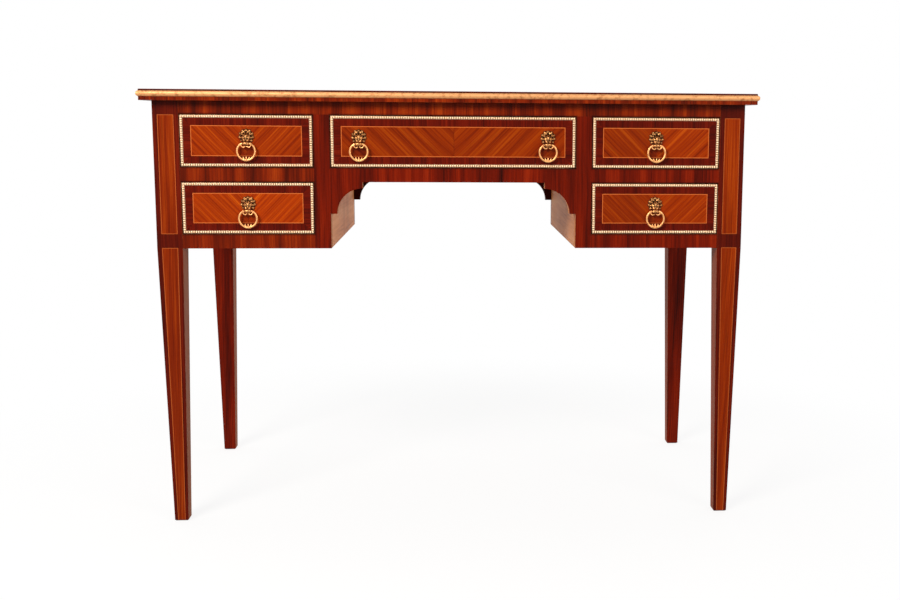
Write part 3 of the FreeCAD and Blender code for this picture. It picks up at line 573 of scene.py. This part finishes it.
def leather_material():
    """Grained leather with a worn gilt border of lines and a scroll."""
    _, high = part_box("writing_leather")
    shader = Shader("tooled_leather")
    grain = {"Vector": shader.position, "Scale": 900.0}
    cells = shader.add("ShaderNodeTexVoronoi", {}, grain).outputs["Distance"]
    fine = shader.noise(shader.position, scale=300.0, detail=2.0)
    colour = shader.ramp(shader.noise(shader.position, scale=6.0, detail=5.0), LEATHER)
    from_end, from_long = top_margins(shader, high)
    edge = shader.least(from_end, from_long)
    run = shader.choose(shader.past(shader.minus(from_long, from_end), 0.0, MITRE_BLUR), shader.x, shader.y)
    swing = shader.math("SINE", shader.times(run, 2 * math.pi / SCROLL_LENGTH))
    gilt = shader.line(shader.minus(edge, shader.times(swing, SCROLL_HEIGHT)), *SCROLL_LINE)
    for place, width in TOOLED_LINES:
        gilt = shader.most(gilt, shader.line(edge, place, width))
    worn = shader.times(gilt, shader.step(fine, 0.34, 0.46))
    colour = shader.mix(worn, colour, TOOLED_GILT)
    height = shader.minus(shader.times(cells, 0.6), shader.times(gilt, 0.8))
    return shader.finish(
        colour,
        height,
        bump=0.25,
        relief=0.0002,
        bevel=0.0,
        roughness=shader.choose(worn, 0.55, 0.30),
        metallic=shader.times(worn, 0.85),
    )


def brass_material(name, bright, shade, patina, roughness, metal, recess=None):
    """Old gilt brass, clouded by patina, with patina and painted shade in its recesses."""
    shader = Shader(name)
    cloud = shader.noise(shader.position, scale=150.0, detail=4.0, roughness=0.65)
    speck = shader.noise(shader.position, scale=900.0, detail=2.0)
    tarnish = shader.times(shader.step(cloud, 0.46, 0.72), patina)
    colour = shader.mix(tarnish, bright, shade)
    # Recess colour: patina and painted shade where the form lies deep
    if recess:
        hollow = shader.add("ShaderNodeAttribute", {"attribute_name": "hollow"}).outputs["Fac"]
        colour = shader.mix(hollow, colour, recess)
    return shader.finish(
        colour,
        speck,
        bump=0.10,
        relief=0.0001,
        bevel=0.0003,
        metallic=metal,
        roughness=shader.choose(cloud, roughness, roughness + 0.2),
        specular_ior_level=BRASS_SPECULAR,
    )


# Bead strips: sizes in metres, and the painted shade they get in their recesses

STRIP_WIDTH = 5.2 * MM
STRIP_CHAMFER = 0.5 * MM
STRIP_FACE = 1.4 * MM
STRIP_SHOULDER = 1.9 * MM
STRIP_SHADE = 0.82
PEARL_RADIUS = 2.5 * MM
PEARL_LENGTH = 1.68 * MM
PEARL_PITCH = 4.0 * MM
PEARL_SHADE = 0.25
PEARL_SEGMENTS = 10
PEARL_RINGS = 4

# Lion masks, in millimetres from the middle of the face, the lowest point of the jaw or the drawer front

MASK_SPREAD = 1.17
MASK_RINGS = 42
MASK_COLUMNS = 120
MASK_MIDDLE_UP = 12.5
MASK_CROWN = 3.4
MASK_ROUND = 12.6
MASK_LOWEST = 0.9
MASK_HIGHEST = 10.6
MANE_REACH = 10.95
MANE_WAVE = 0.75
MANE_LOCKS = 11
MANE_PHASE = 0.18
# Rows of locks: rise, number round the face, phase, lean, distance from the middle, breadth
MANE_ROWS = [
    (1.05, MANE_LOCKS, -1.8, 0.18, 10.0, 1.8),
    (0.95, 9, 3.6, -0.2, 7.3, 1.4),
    (0.18, 42, 0.0, 0.9, 9.2, 2.4),
]
FACE_RISE = 4.4
FACE_WIDTH = 6.0
FACE_HEIGHT = 6.6
FACE_DOWN = 2.6
# Swellings and hollows on both sides of the face: place across, place up, half width, half height, rise
FACE_PAIRS = [
    (2.5, 1.3, 1.5, 0.7, 1.5),
    (3.7, 1.8, 1.1, 0.6, 1.2),
    (2.5, -0.3, 0.65, 0.45, -1.7),
    (3.4, 0.1, 0.65, 0.4, -1.4),
    (2.9, -0.2, 0.4, 0.3, 0.8),
    (4.6, -2.8, 1.3, 1.7, 0.9),
    (1.4, -5.2, 0.45, 0.3, -1.3),
    (2.4, -6.9, 2.0, 1.4, 2.9),
    (1.6, 3.0, 1.2, 1.4, 0.8),
    (6.0, 4.6, 1.5, 1.4, 2.4),
    (6.0, 4.5, 0.75, 0.7, -2.0),
]
# Those in the middle of the face: place up, half width, half height, rise
FACE_MIDDLE = [
    (8.4, 3.6, 1.8, 1.3),
    (-1.4, 1.9, 3.4, 2.1),
    (-4.7, 2.4, 0.8, 1.8),
    (-6.7, 0.35, 1.3, -1.6),
    (-8.8, 3.2, 0.5, -2.4),
    (-10.2, 2.0, 1.0, 1.0),
    (2.9, 0.4, 1.5, -0.8),
]
HINGE_UP = 3.2
HINGE_OUT = 7.0
JAW_REACH = 5.2
JAW_RADIUS = 3.1
JAW_SIDES = 20
CHIN_REACH = 4
CHIN_BELOW = 3
CHIN_ABOVE = 4
POST_RADIUS = 2
POST_SIDES = 16
NUT_RADIUS = 4
NUT_SIDES = 6
NUT_BACK = 20.0
NUT_THICKNESS = 2.6

# Rings, in millimetres about the hinge

RING_RADIUS = 15.2
RING_WIRE = 1.75
RING_WIDEST = 2.68
RING_LOWEST = 30.5
RING_CENTRE = -13.0
RING_STEPS = 84
SHOULDER_FOOT = -4.0
# Shoulder: place across, place up
RING_SHOULDER = [(5.6, 0.0), (6.6, -0.05), (7.8, -0.35), (9.0, -0.95), (10.2, -1.9), (11.3, -2.95)]
SHOULDER_RADII = (1.6, 1.9, 2.0)
# Pins, curls and leaves: place across, place up, radius
RING_PIN = [(1.5, 0.0, 1.2), (3.0, 0.0, 1.2), (4.5, 0.0, 1.2), (5.8, 0.0, 1.2)]
RING_CURL = [
    (8.8, -1.2, 1.2),
    (8.2, -3.5, 1.0),
    (6.9, -5.3, 1.05),
    (5.1, -6.3, 1.2),
    (3.3, -6.0, 1.15),
    (1.9, -5.0, 1.0),
    (0.8, -4.4, 0.7),
]
RING_SIDE_LEAF = [(3.6, -27.0, 1.7), (4.6, -25.2, 1.3), (5.2, -23.4, 0.9), (5.4, -21.8, 0.3)]
RING_MIDDLE_LEAF = [(0.0, -26.8, 1.8), (0.0, -24.8, 1.4), (0.0, -23.0, 0.95), (0.0, -21.0, 0.3)]

# Rear apron, in metres: height and width of its feet, and the radius of the sweep beside them

APRON_FOOT_Z = 0.547
APRON_FOOT_WIDTH = 13.0 * MM
APRON_SWEEP = 45.0 * MM
APRON_STEPS = 19


# Pieces

def make_piece(name, vertices, faces, material, body, smooth=True, hollow=None):
    mesh = bpy.data.meshes.new(name)
    mesh.from_pydata([tuple(v) for v in vertices], [], [tuple(int(i) for i in f) for f in faces])
    mesh.validate()
    for polygon in mesh.polygons:
        polygon.use_smooth = smooth
    if hollow is not None:
        mesh.attributes.new("hollow", "FLOAT", "POINT").data.foreach_set("value", hollow.astype(np.float32))
    mesh.materials.append(material)
    piece = bpy.data.objects.new(name, mesh)
    bpy.context.scene.collection.objects.link(piece)
    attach(piece, body)
    return piece


class Heap:
    """Vertices and faces gathered from several forms, with the painted shade and patina each form gets in its
    recesses.
    """

    def __init__(self):
        self.vertices = []
        self.faces = []
        self.shades = []
        self.count = 0

    def put(self, vertices, faces, shade=0.0):
        self.vertices.append(np.asarray(vertices, float))
        self.faces += [tuple(i + self.count for i in f) for f in faces]
        self.shades.append(np.broadcast_to(shade, len(vertices)))
        self.count += len(vertices)

    def points(self):
        return np.vstack(self.vertices)

    def hollow(self):
        return np.concatenate(self.shades)


def loop_faces(rows, columns):
    """Faces between closed loops of points, row by row."""
    faces = []
    for r in range(rows - 1):
        for c in range(columns):
            d = (c + 1) % columns
            faces.append((r * columns + c, r * columns + d, (r + 1) * columns + d, (r + 1) * columns + c))
    return faces


def circle(count):
    return np.linspace(0, 2 * math.pi, count, endpoint=False)


def dome():
    """Half of a unit ball that faces the front."""
    points = []
    for ring in range(PEARL_RINGS):
        lift = math.pi / 2 * ring / PEARL_RINGS
        for turn in circle(PEARL_SEGMENTS):
            points.append((math.cos(lift) * math.cos(turn), -math.sin(lift), math.cos(lift) * math.sin(turn)))
    points.append((0.0, -1.0, 0.0))
    faces = loop_faces(PEARL_RINGS, PEARL_SEGMENTS)
    last = (PEARL_RINGS - 1) * PEARL_SEGMENTS
    tip = len(points) - 1
    faces += [(last + s, last + (s + 1) % PEARL_SEGMENTS, tip) for s in range(PEARL_SEGMENTS)]
    return np.array(points), faces


def tube(path, radii, sides):
    """A round bar along a path in the upright plane of the ring."""
    path = np.asarray(path, float)
    tangent = np.gradient(path, axis=0)
    tangent /= np.linalg.norm(tangent, axis=1)[:, None]
    outward = np.stack([-tangent[:, 2], np.zeros(len(path)), tangent[:, 0]], axis=1)
    forward = np.array((0, 1, 0))
    points = []
    for centre, normal, radius in zip(path, outward, radii):
        for turn in circle(sides):
            points.append(centre + radius * (math.cos(turn) * normal + math.sin(turn) * forward))
    faces = loop_faces(len(path), sides)
    faces.append(tuple(range(sides))[::-1])
    faces.append(tuple(range((len(path) - 1) * sides, len(path) * sides)))
    return np.array(points), faces


def limb(table, side, sides):
    """A pin, curl or leaf of the ring, on one side of its middle."""
    path = [(side * across, 0.0, up) for across, up, _ in table]
    return tube(path, [radius for _, _, radius in table], sides)


def pillar(x, z, radius, sides, near_y, far_y):
    """An upright-sided form that runs back from the drawer front and ends in a flat face."""
    places = [(x + radius * math.cos(t), z + radius * math.sin(t)) for t in circle(sides)]
    points = [(px, y, pz) for y in (near_y, far_y) for px, pz in places]
    return points, loop_faces(2, sides) + [tuple(range(sides, 2 * sides))]


def make_beading(drawer, material):
    low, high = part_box(f"{drawer}_beading")
    crest = low.y
    seat = high.y
    profile = [
        (0.0, seat),
        (0.0, crest + STRIP_SHOULDER),
        (STRIP_CHAMFER, crest + STRIP_FACE),
        (STRIP_WIDTH - STRIP_CHAMFER, crest + STRIP_FACE),
        (STRIP_WIDTH, crest + STRIP_SHOULDER),
        (STRIP_WIDTH, seat),
    ]
    loop = []
    for inset, y in profile:
        x0, x1 = low.x + inset, high.x - inset
        z0, z1 = low.z + inset, high.z - inset
        loop += [(x0, y, z0), (x1, y, z0), (x1, y, z1), (x0, y, z1)]
    heap = Heap()
    heap.put(loop, loop_faces(len(profile), 4), STRIP_SHADE)
    x0, x1 = low.x + STRIP_WIDTH / 2, high.x - STRIP_WIDTH / 2
    z0, z1 = low.z + STRIP_WIDTH / 2, high.z - STRIP_WIDTH / 2
    columns = round((x1 - x0) / PEARL_PITCH)
    rows = round((z1 - z0) / PEARL_PITCH)
    level = np.array((PEARL_LENGTH, PEARL_RADIUS, PEARL_RADIUS))
    standing = np.array((PEARL_RADIUS, PEARL_RADIUS, PEARL_LENGTH))
    places = [(x0 + (x1 - x0) * i / columns, z, level) for z in (z0, z1) for i in range(columns + 1)]
    places += [(x, z0 + (z1 - z0) * i / rows, standing) for x in (x0, x1) for i in range(1, rows)]
    ball, ball_faces = dome()
    # Painted shade at the foot of each pearl and on the strip between them
    ball_shade = np.clip(1.0 + 2.8 * ball[:, 1], 0, 1) * PEARL_SHADE
    for x, z, shape in places:
        heap.put(ball * shape + np.array((x, crest + PEARL_RADIUS, z)), ball_faces, ball_shade)
    piece = make_piece(
        f"{drawer}_pearls",
        heap.points(),
        heap.faces,
        material,
        f"{drawer}_drawer",
        hollow=heap.hollow(),
    )
    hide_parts(f"{drawer}_beading")


def lion_height(u, v):
    """Relief of a lion's face in its mane, in millimetres, about the middle of the mask."""

    def swell(across, up, half_width, half_height, rise):
        return rise * np.exp(-(((u - across) / half_width) ** 2 + ((v - up) / half_height) ** 2))

    r = np.hypot(u, v)
    turn = np.abs(np.arctan2(u, v))
    total = MASK_CROWN * np.clip(1 - (r / MASK_ROUND) ** 4, 0, 1)
    for rise, locks, phase, lean, place, breadth in MANE_ROWS:
        total = total + rise * np.cos(locks * turn + phase + lean * r) * np.exp(-((r - place) / breadth) ** 2)
    total = total + FACE_RISE * np.exp(-((u / FACE_WIDTH) ** 4 + ((v + FACE_DOWN) / FACE_HEIGHT) ** 4))
    for across, *form in FACE_PAIRS:
        total = total + swell(-across, *form) + swell(across, *form)
    for form in FACE_MIDDLE:
        total = total + swell(0, *form)
    return np.clip(total, MASK_LOWEST, MASK_HIGHEST)


def lion_hollow(u, v, height):
    """How deep each place of the face lies among its neighbours, near and far, from 0 to 1: the share of
    patina and painted shade in its hollows.
    """

    def neighbours(step):
        sides = ((step, 0), (-step, 0), (0, step), (0, -step))
        return sum(lion_height(u + across, v + up) for across, up in sides) / len(sides)

    near = (neighbours(0.7) - height) / 0.16
    far = (neighbours(1.8) - height) / 0.9
    hollow = np.clip(0.45 + near + far, 0, 1) * 0.96
    return np.maximum(hollow, np.clip((2.4 - height) / 1.4, 0, 0.8))


def jaw_bar(x, y, z):
    """The round bar in the lion's mouth that carries the ring, with chamfered ends."""
    reach, chamfer = JAW_REACH * MM, 0.4 * MM
    marks = [(-reach, 0.82), (chamfer - reach, 1.0), (reach - chamfer, 1.0), (reach, 0.82)]
    points = []
    for along, share in marks:
        radius = share * JAW_RADIUS * MM
        points += [(x + along, y + radius * math.cos(t), z + radius * math.sin(t)) for t in circle(JAW_SIDES)]
    ends = [tuple(range(JAW_SIDES))[::-1], tuple(range(3 * JAW_SIDES, 4 * JAW_SIDES))]
    return points, loop_faces(len(marks), JAW_SIDES) + ends


def chin_block(x, hinge_z, back_y, front_y):
    """The block between the jaw and the drawer front."""
    x0, x1 = x - CHIN_REACH * MM, x + CHIN_REACH * MM
    z0, z1 = hinge_z - CHIN_BELOW * MM, hinge_z + CHIN_ABOVE * MM
    corners = ((x0, z0), (x1, z0), (x1, z1), (x0, z1))
    points = [(px, y, pz) for y in (back_y, front_y) for px, pz in corners]
    sides = [(0, 1, 5, 4), (1, 2, 6, 5), (2, 3, 7, 6), (3, 0, 4, 7)]
    return points, sides + [(0, 3, 2, 1), (4, 5, 6, 7)]


def make_mask(name, body, material):
    low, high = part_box(f"{name}_mask")
    x = (low.x + high.x) / 2
    face_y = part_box(f"{PULLS[name]}_front")[0].y
    hinge_y = face_y - HINGE_OUT * MM
    hinge_z = low.z + HINGE_UP * MM
    z = hinge_z + MASK_MIDDLE_UP * MM
    turns = circle(MASK_COLUMNS)
    from_top = np.minimum(turns, 2 * math.pi - turns)
    reach = MANE_REACH + MANE_WAVE * np.cos(MANE_LOCKS * from_top + MANE_PHASE)
    shares = (np.arange(MASK_RINGS) + 0.5) / (MASK_RINGS - 0.5)
    u = shares[:, None] * reach * np.sin(turns)
    v = shares[:, None] * reach * np.cos(turns)
    height = lion_height(u, v)
    hollow = lion_hollow(u, v, height)
    height[-1] = 0.0
    spread = MASK_SPREAD * MM
    points = np.stack([x + u * spread, face_y - height * MM, z + v * spread], axis=-1).reshape(-1, 3)
    faces = [tuple(reversed(f)) for f in loop_faces(MASK_RINGS, MASK_COLUMNS)]
    heap = Heap()
    heap.put(points, faces + [tuple(range(MASK_COLUMNS))], hollow.reshape(-1))
    # Painted shade on the jaw, more on the block behind it, and on the post and nut behind the front
    heap.put(*jaw_bar(x, hinge_y, hinge_z), 0.15)
    heap.put(*chin_block(x, hinge_z, face_y, hinge_y), 0.5)
    heap.put(*pillar(x, z, POST_RADIUS * MM, POST_SIDES, face_y, high.y), 0.3)
    nut_y = face_y + NUT_BACK * MM
    heap.put(*pillar(x, z, NUT_RADIUS * MM, NUT_SIDES, nut_y, nut_y + NUT_THICKNESS * MM), 0.3)
    piece = make_piece(
        f"{name}_lion",
        heap.points(),
        heap.faces,
        material,
        body,
        hollow=heap.hollow(),
    )
    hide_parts(f"{name}_mask")


def make_ring(name, material):
    low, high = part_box(f"{name}_ring")
    hinge = np.array(((low.x + high.x) / 2 / MM, (low.y + high.y) / 2 / MM, low.z / MM + RING_LOWEST))
    start = math.acos((SHOULDER_FOOT - RING_CENTRE) / RING_RADIUS)
    turns = np.linspace(start, 2 * math.pi - start, RING_STEPS)
    hoop = [(RING_RADIUS * math.sin(t), 0.0, RING_CENTRE + RING_RADIUS * math.cos(t)) for t in turns]
    right = [(across, 0.0, up) for across, up in RING_SHOULDER]
    left = [(-across, 0.0, up) for across, up in reversed(RING_SHOULDER)]
    path = np.array(right + hoop + left)
    from_foot = np.abs(np.arctan2(path[:, 0], RING_CENTRE - path[:, 2]))
    swelling = 0.5 * np.exp(-(from_foot / 0.34) ** 2)
    rings = 0.14 * np.cos(26 * from_foot) * np.exp(-(from_foot / 0.55) ** 4)
    radii = np.minimum(RING_WIRE + swelling + rings, RING_WIDEST)
    radii[:3] = SHOULDER_RADII
    radii[-3:] = SHOULDER_RADII[::-1]
    forms = [tube(path, radii, 16)]
    for side in (-1, 1):
        forms.append(limb(RING_PIN, side, 12))
        forms.append(limb(RING_CURL, side, 12))
        forms.append(limb(RING_SIDE_LEAF, side, 10))
    forms.append(limb(RING_MIDDLE_LEAF, 1, 12))
    heap = Heap()
    for points, faces in forms:
        heap.put((points + hinge) * MM, faces)
    piece = make_piece(f"{name}_hoop", heap.points(), heap.faces, material, f"{name}_ring_pull")
    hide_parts(f"{name}_ring")


def make_rear_apron(material):
    """The board behind the kneehole, whose lower edge sweeps down to the back panels."""
    low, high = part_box("rear_apron")
    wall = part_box("right_knee_panel")[0].x
    straight_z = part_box("right_middle_rail")[0].z
    arch = wall - APRON_FOOT_WIDTH - APRON_SWEEP
    half = [(wall, high.z), (wall, APRON_FOOT_Z)]
    for lift in np.linspace(0, math.pi / 2, APRON_STEPS):
        half.append((arch + APRON_SWEEP * math.cos(lift), APRON_FOOT_Z + APRON_SWEEP * math.sin(lift)))
    half.append((arch, straight_z))
    outline = [(-x, z) for x, z in half] + half[::-1]
    count = len(outline)
    vertices = [(x, y, z) for y in (low.y, high.y) for x, z in outline]
    faces = [tuple(range(count)), tuple(range(count, 2 * count))[::-1]]
    for i in range(count):
        j = (i + 1) % count
        faces.append((i, i + count, j + count, j))
    piece = make_piece("rear_apron_board", vertices, faces, material, "frame", smooth=False)
    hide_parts("rear_apron")


def cover(node, material):
    mesh = nodes[node].data
    mesh.materials.clear()
    mesh.materials.append(material)


def dress_frame():
    band = brass_material(
        "polished_band",
        bright=tone(222, 160, 106),
        shade=tone(158, 96, 54),
        patina=0.75,
        roughness=0.40,
        metal=0.5,
    )
    cover("top_board", top_material())
    cover("writing_leather", leather_material())
    cover("top_band", band)
    for end_name, end in (("front", -1), ("rear", 1)):
        for side_name, side in (("left", -1), ("right", 1)):
            node = f"{end_name}_{side_name}_leg"
            cover(node, leg_material(node, side, end))
    cover("top_rail", upright_material("top_rail_veneer", KINGWOOD, seed=1.7))
    cover("front_apron", upright_material("apron_veneer", ROSEWOOD, seed=3.9))
    make_rear_apron(rear_apron_material())
    for index, side in enumerate(("left", "right")):
        for offset, piece in enumerate(("stile", "middle_rail", "bottom_rail")):
            seed = 8.0 + index + 1.9 * offset
            stops = KINGWOOD if side == "left" and piece != "stile" else ROSEWOOD
            cover(f"{side}_{piece}", upright_material(f"{side}_{piece}_veneer", stops, seed))
        cover(f"{side}_end_panel", panel_material(f"{side}_end_panel", across_x=False))
        cover(f"{side}_back_panel", panel_material(f"{side}_back_panel", across_x=True))
        cheek = lengthwise_material(f"{side}_cheek", CHEEK, 4.0 + index, dull=0.65, light=CHEEK_LIGHT[side])
        cover(f"{side}_knee_panel", cheek)
        cover(f"{side}_case_bottom", lengthwise_material(f"{side}_dustboard", OAK, 14.0 + index))
        cover(f"{side}_runners", lengthwise_material(f"{side}_runner_wood", OAK, 17.0 + index))
    cover("centre_runners", lengthwise_material("centre_runner_wood", OAK, seed=19.0))
    cover("kickers", lengthwise_material("kicker_wood", OAK, seed=21.0))


def dress_drawers():
    pearls = brass_material(
        "gilt_pearls",
        bright=tone(255, 228, 190),
        shade=tone(246, 190, 128),
        patina=0.5,
        roughness=0.30,
        metal=0.45,
        recess=tone(104, 44, 12),
    )
    casting = brass_material(
        "gilt_casting",
        bright=tone(190, 132, 80),
        shade=tone(74, 40, 21),
        patina=0.8,
        roughness=0.24,
        metal=1.0,
        recess=tone(30, 15, 7),
    )
    ring = brass_material(
        "gilt_ring",
        bright=tone(236, 172, 110),
        shade=tone(130, 72, 38),
        patina=0.8,
        roughness=0.26,
        metal=0.75,
    )
    for index, drawer in enumerate(DRAWERS):
        cover(f"{drawer}_front", drawer_front_material(drawer))
        lining = lengthwise_material(f"{drawer}_lining", OAK, 23.0 + 1.3 * index)
        cover(f"{drawer}_box", lining)
        cover(f"{drawer}_bottom", lining)
        make_beading(drawer, pearls)
    for name, drawer in PULLS.items():
        make_mask(name, f"{drawer}_drawer", casting)
        make_ring(name, ring)


# Stage: the photograph's camera, with its lens in pixels, then the floor, the room and the lamps

PICTURE_WIDTH = 900
PICTURE_HEIGHT = 600
SENSOR = 36.0
CAMERA_PLACE = (-0.0081, -2.316, 0.7075)
CAMERA_YAW = math.radians(-4.277)
CAMERA_PITCH = math.radians(8.315)
CAMERA_ROLL = math.radians(0.378)
FOCAL_PIXELS = 1171.18
AXIS_PIXEL_X = 536.60
AXIS_PIXEL_Y = 296.91

WHITE = (1.0, 1.0, 1.0, 1)
FLOOR_REACH = 30.0
FLOOR_SEEN = (0.92, 0.92, 0.92, 1)
FLOOR_LIT = (0.34, 0.32, 0.30, 1)
FLOOR_GLOW = 0.86
FLOOR_FADE = (0.5, 1.3)
BACKDROP_FADE = (0.0, 0.9)
BACKDROP_GLOW = 0.95
ROOM_FADE = (-0.25, 0.35)
ROOM_LIGHT = 0.16

LAMP_COLOUR = (1.0, 0.95, 0.88)
LAMP_AIM = (0.0, -0.25, 0.45)
# Lamps: name, place, width and height, power
LAMPS = [
    ("key", (-1.6, -2.5, 2.1), (1.2, 1.0), 96.0),
    ("fill", (1.8, -2.6, 1.7), (1.4, 1.2), 32.0),
]


def make_camera():
    right = Vector((math.cos(CAMERA_YAW), math.sin(CAMERA_YAW), 0))
    level = Vector((-math.sin(CAMERA_YAW), math.cos(CAMERA_YAW), 0))
    up = Vector((0, 0, 1))
    forward = level * math.cos(CAMERA_PITCH) - up * math.sin(CAMERA_PITCH)
    top = up * math.cos(CAMERA_PITCH) + level * math.sin(CAMERA_PITCH)
    across = right * math.cos(CAMERA_ROLL) + top * math.sin(CAMERA_ROLL)
    upward = top * math.cos(CAMERA_ROLL) - right * math.sin(CAMERA_ROLL)
    data = bpy.data.cameras.new("camera")
    data.sensor_width = SENSOR
    data.lens = FOCAL_PIXELS / PICTURE_WIDTH * SENSOR
    data.shift_x = (PICTURE_WIDTH / 2 - AXIS_PIXEL_X) / PICTURE_WIDTH
    data.shift_y = (AXIS_PIXEL_Y - PICTURE_HEIGHT / 2) / PICTURE_WIDTH
    data.clip_end = 100
    camera = bpy.data.objects.new("camera", data)
    turn = Matrix((across, upward, -forward)).transposed().to_4x4()
    camera.matrix_world = Matrix.Translation(CAMERA_PLACE) @ turn
    bpy.context.scene.collection.objects.link(camera)
    bpy.context.scene.camera = camera


def make_floor():
    """A white floor that keeps the desk's shadow near it and glows further off."""
    corners = [(-1, -1), (1, -1), (1, 1), (-1, 1)]
    mesh = bpy.data.meshes.new("floor")
    mesh.from_pydata([(FLOOR_REACH * x, FLOOR_REACH * y, 0) for x, y in corners], [], [(0, 1, 2, 3)])
    shader = Shader("floor_white")
    rays = shader.add("ShaderNodeLightPath").outputs
    seen = shader.plus(rays["Is Camera Ray"], shader.plus(rays["Is Glossy Ray"], rays["Is Transmission Ray"]))
    paint = shader.mix(seen, FLOOR_LIT, FLOOR_SEEN)
    diffuse = shader.add("ShaderNodeBsdfDiffuse", inputs={"Color": paint})
    glow = shader.add("ShaderNodeEmission", inputs={"Color": WHITE, "Strength": 1.0})
    behind = shader.times(shader.step(shader.y, *BACKDROP_FADE), BACKDROP_GLOW)
    around = shader.choose(shader.step(shader.distance(shader.position), *FLOOR_FADE), FLOOR_GLOW, 1.0)
    share = shader.choose(seen, behind, around)
    blend = shader.add("ShaderNodeMixShader", inputs={0: share, 1: diffuse.outputs[0], 2: glow.outputs[0]})
    mesh.materials.append(shader.show(blend))
    floor = bpy.data.objects.new("floor", mesh)
    bpy.context.scene.collection.objects.link(floor)


def make_world():
    """A white backdrop behind the desk and a darker room in front of it."""
    world = bpy.data.worlds.new("studio")
    world.use_nodes = True
    tree = world.node_tree
    background = tree.nodes["Background"]
    direction = tree.nodes.new("ShaderNodeTexCoord").outputs["Generated"]
    split = tree.nodes.new("ShaderNodeSeparateXYZ")
    tree.links.new(direction, split.inputs[0])
    fade = tree.nodes.new("ShaderNodeMapRange")
    fade.interpolation_type = "SMOOTHSTEP"
    fade.inputs["From Min"].default_value = ROOM_FADE[0]
    fade.inputs["From Max"].default_value = ROOM_FADE[1]
    fade.inputs["To Min"].default_value = ROOM_LIGHT
    fade.inputs["To Max"].default_value = 1.0
    tree.links.new(split.outputs[1], fade.inputs["Value"])
    strength = tree.nodes.new("ShaderNodeMapRange")
    strength.inputs["To Max"].default_value = 1.0
    tree.links.new(fade.outputs[0], strength.inputs["To Min"])
    rays = tree.nodes.new("ShaderNodeLightPath").outputs
    seen = rays["Is Camera Ray"]
    for kind in ("Is Glossy Ray", "Is Transmission Ray"):
        both = tree.nodes.new("ShaderNodeMath")
        both.operation = "MAXIMUM"
        tree.links.new(seen, both.inputs[0])
        tree.links.new(rays[kind], both.inputs[1])
        seen = both.outputs[0]
    tree.links.new(seen, strength.inputs["Value"])
    tree.links.new(strength.outputs[0], background.inputs["Strength"])
    background.inputs["Color"].default_value = WHITE
    bpy.context.scene.world = world


def make_lamp(name, place, size, power):
    data = bpy.data.lights.new(name, "AREA")
    data.shape = "RECTANGLE"
    data.size, data.size_y = size
    data.energy = power
    data.color = LAMP_COLOUR
    lamp = bpy.data.objects.new(name, data)
    lamp.location = place
    lamp.rotation_euler = (Vector(LAMP_AIM) - Vector(place)).to_track_quat("-Z", "Y").to_euler()
    bpy.context.scene.collection.objects.link(lamp)


def make_stage():
    bpy.context.scene.view_settings.view_transform = "Standard"
    make_camera()
    make_floor()
    make_world()
    for lamp in LAMPS:
        make_lamp(*lamp)


dress_frame()
dress_drawers()
make_stage()
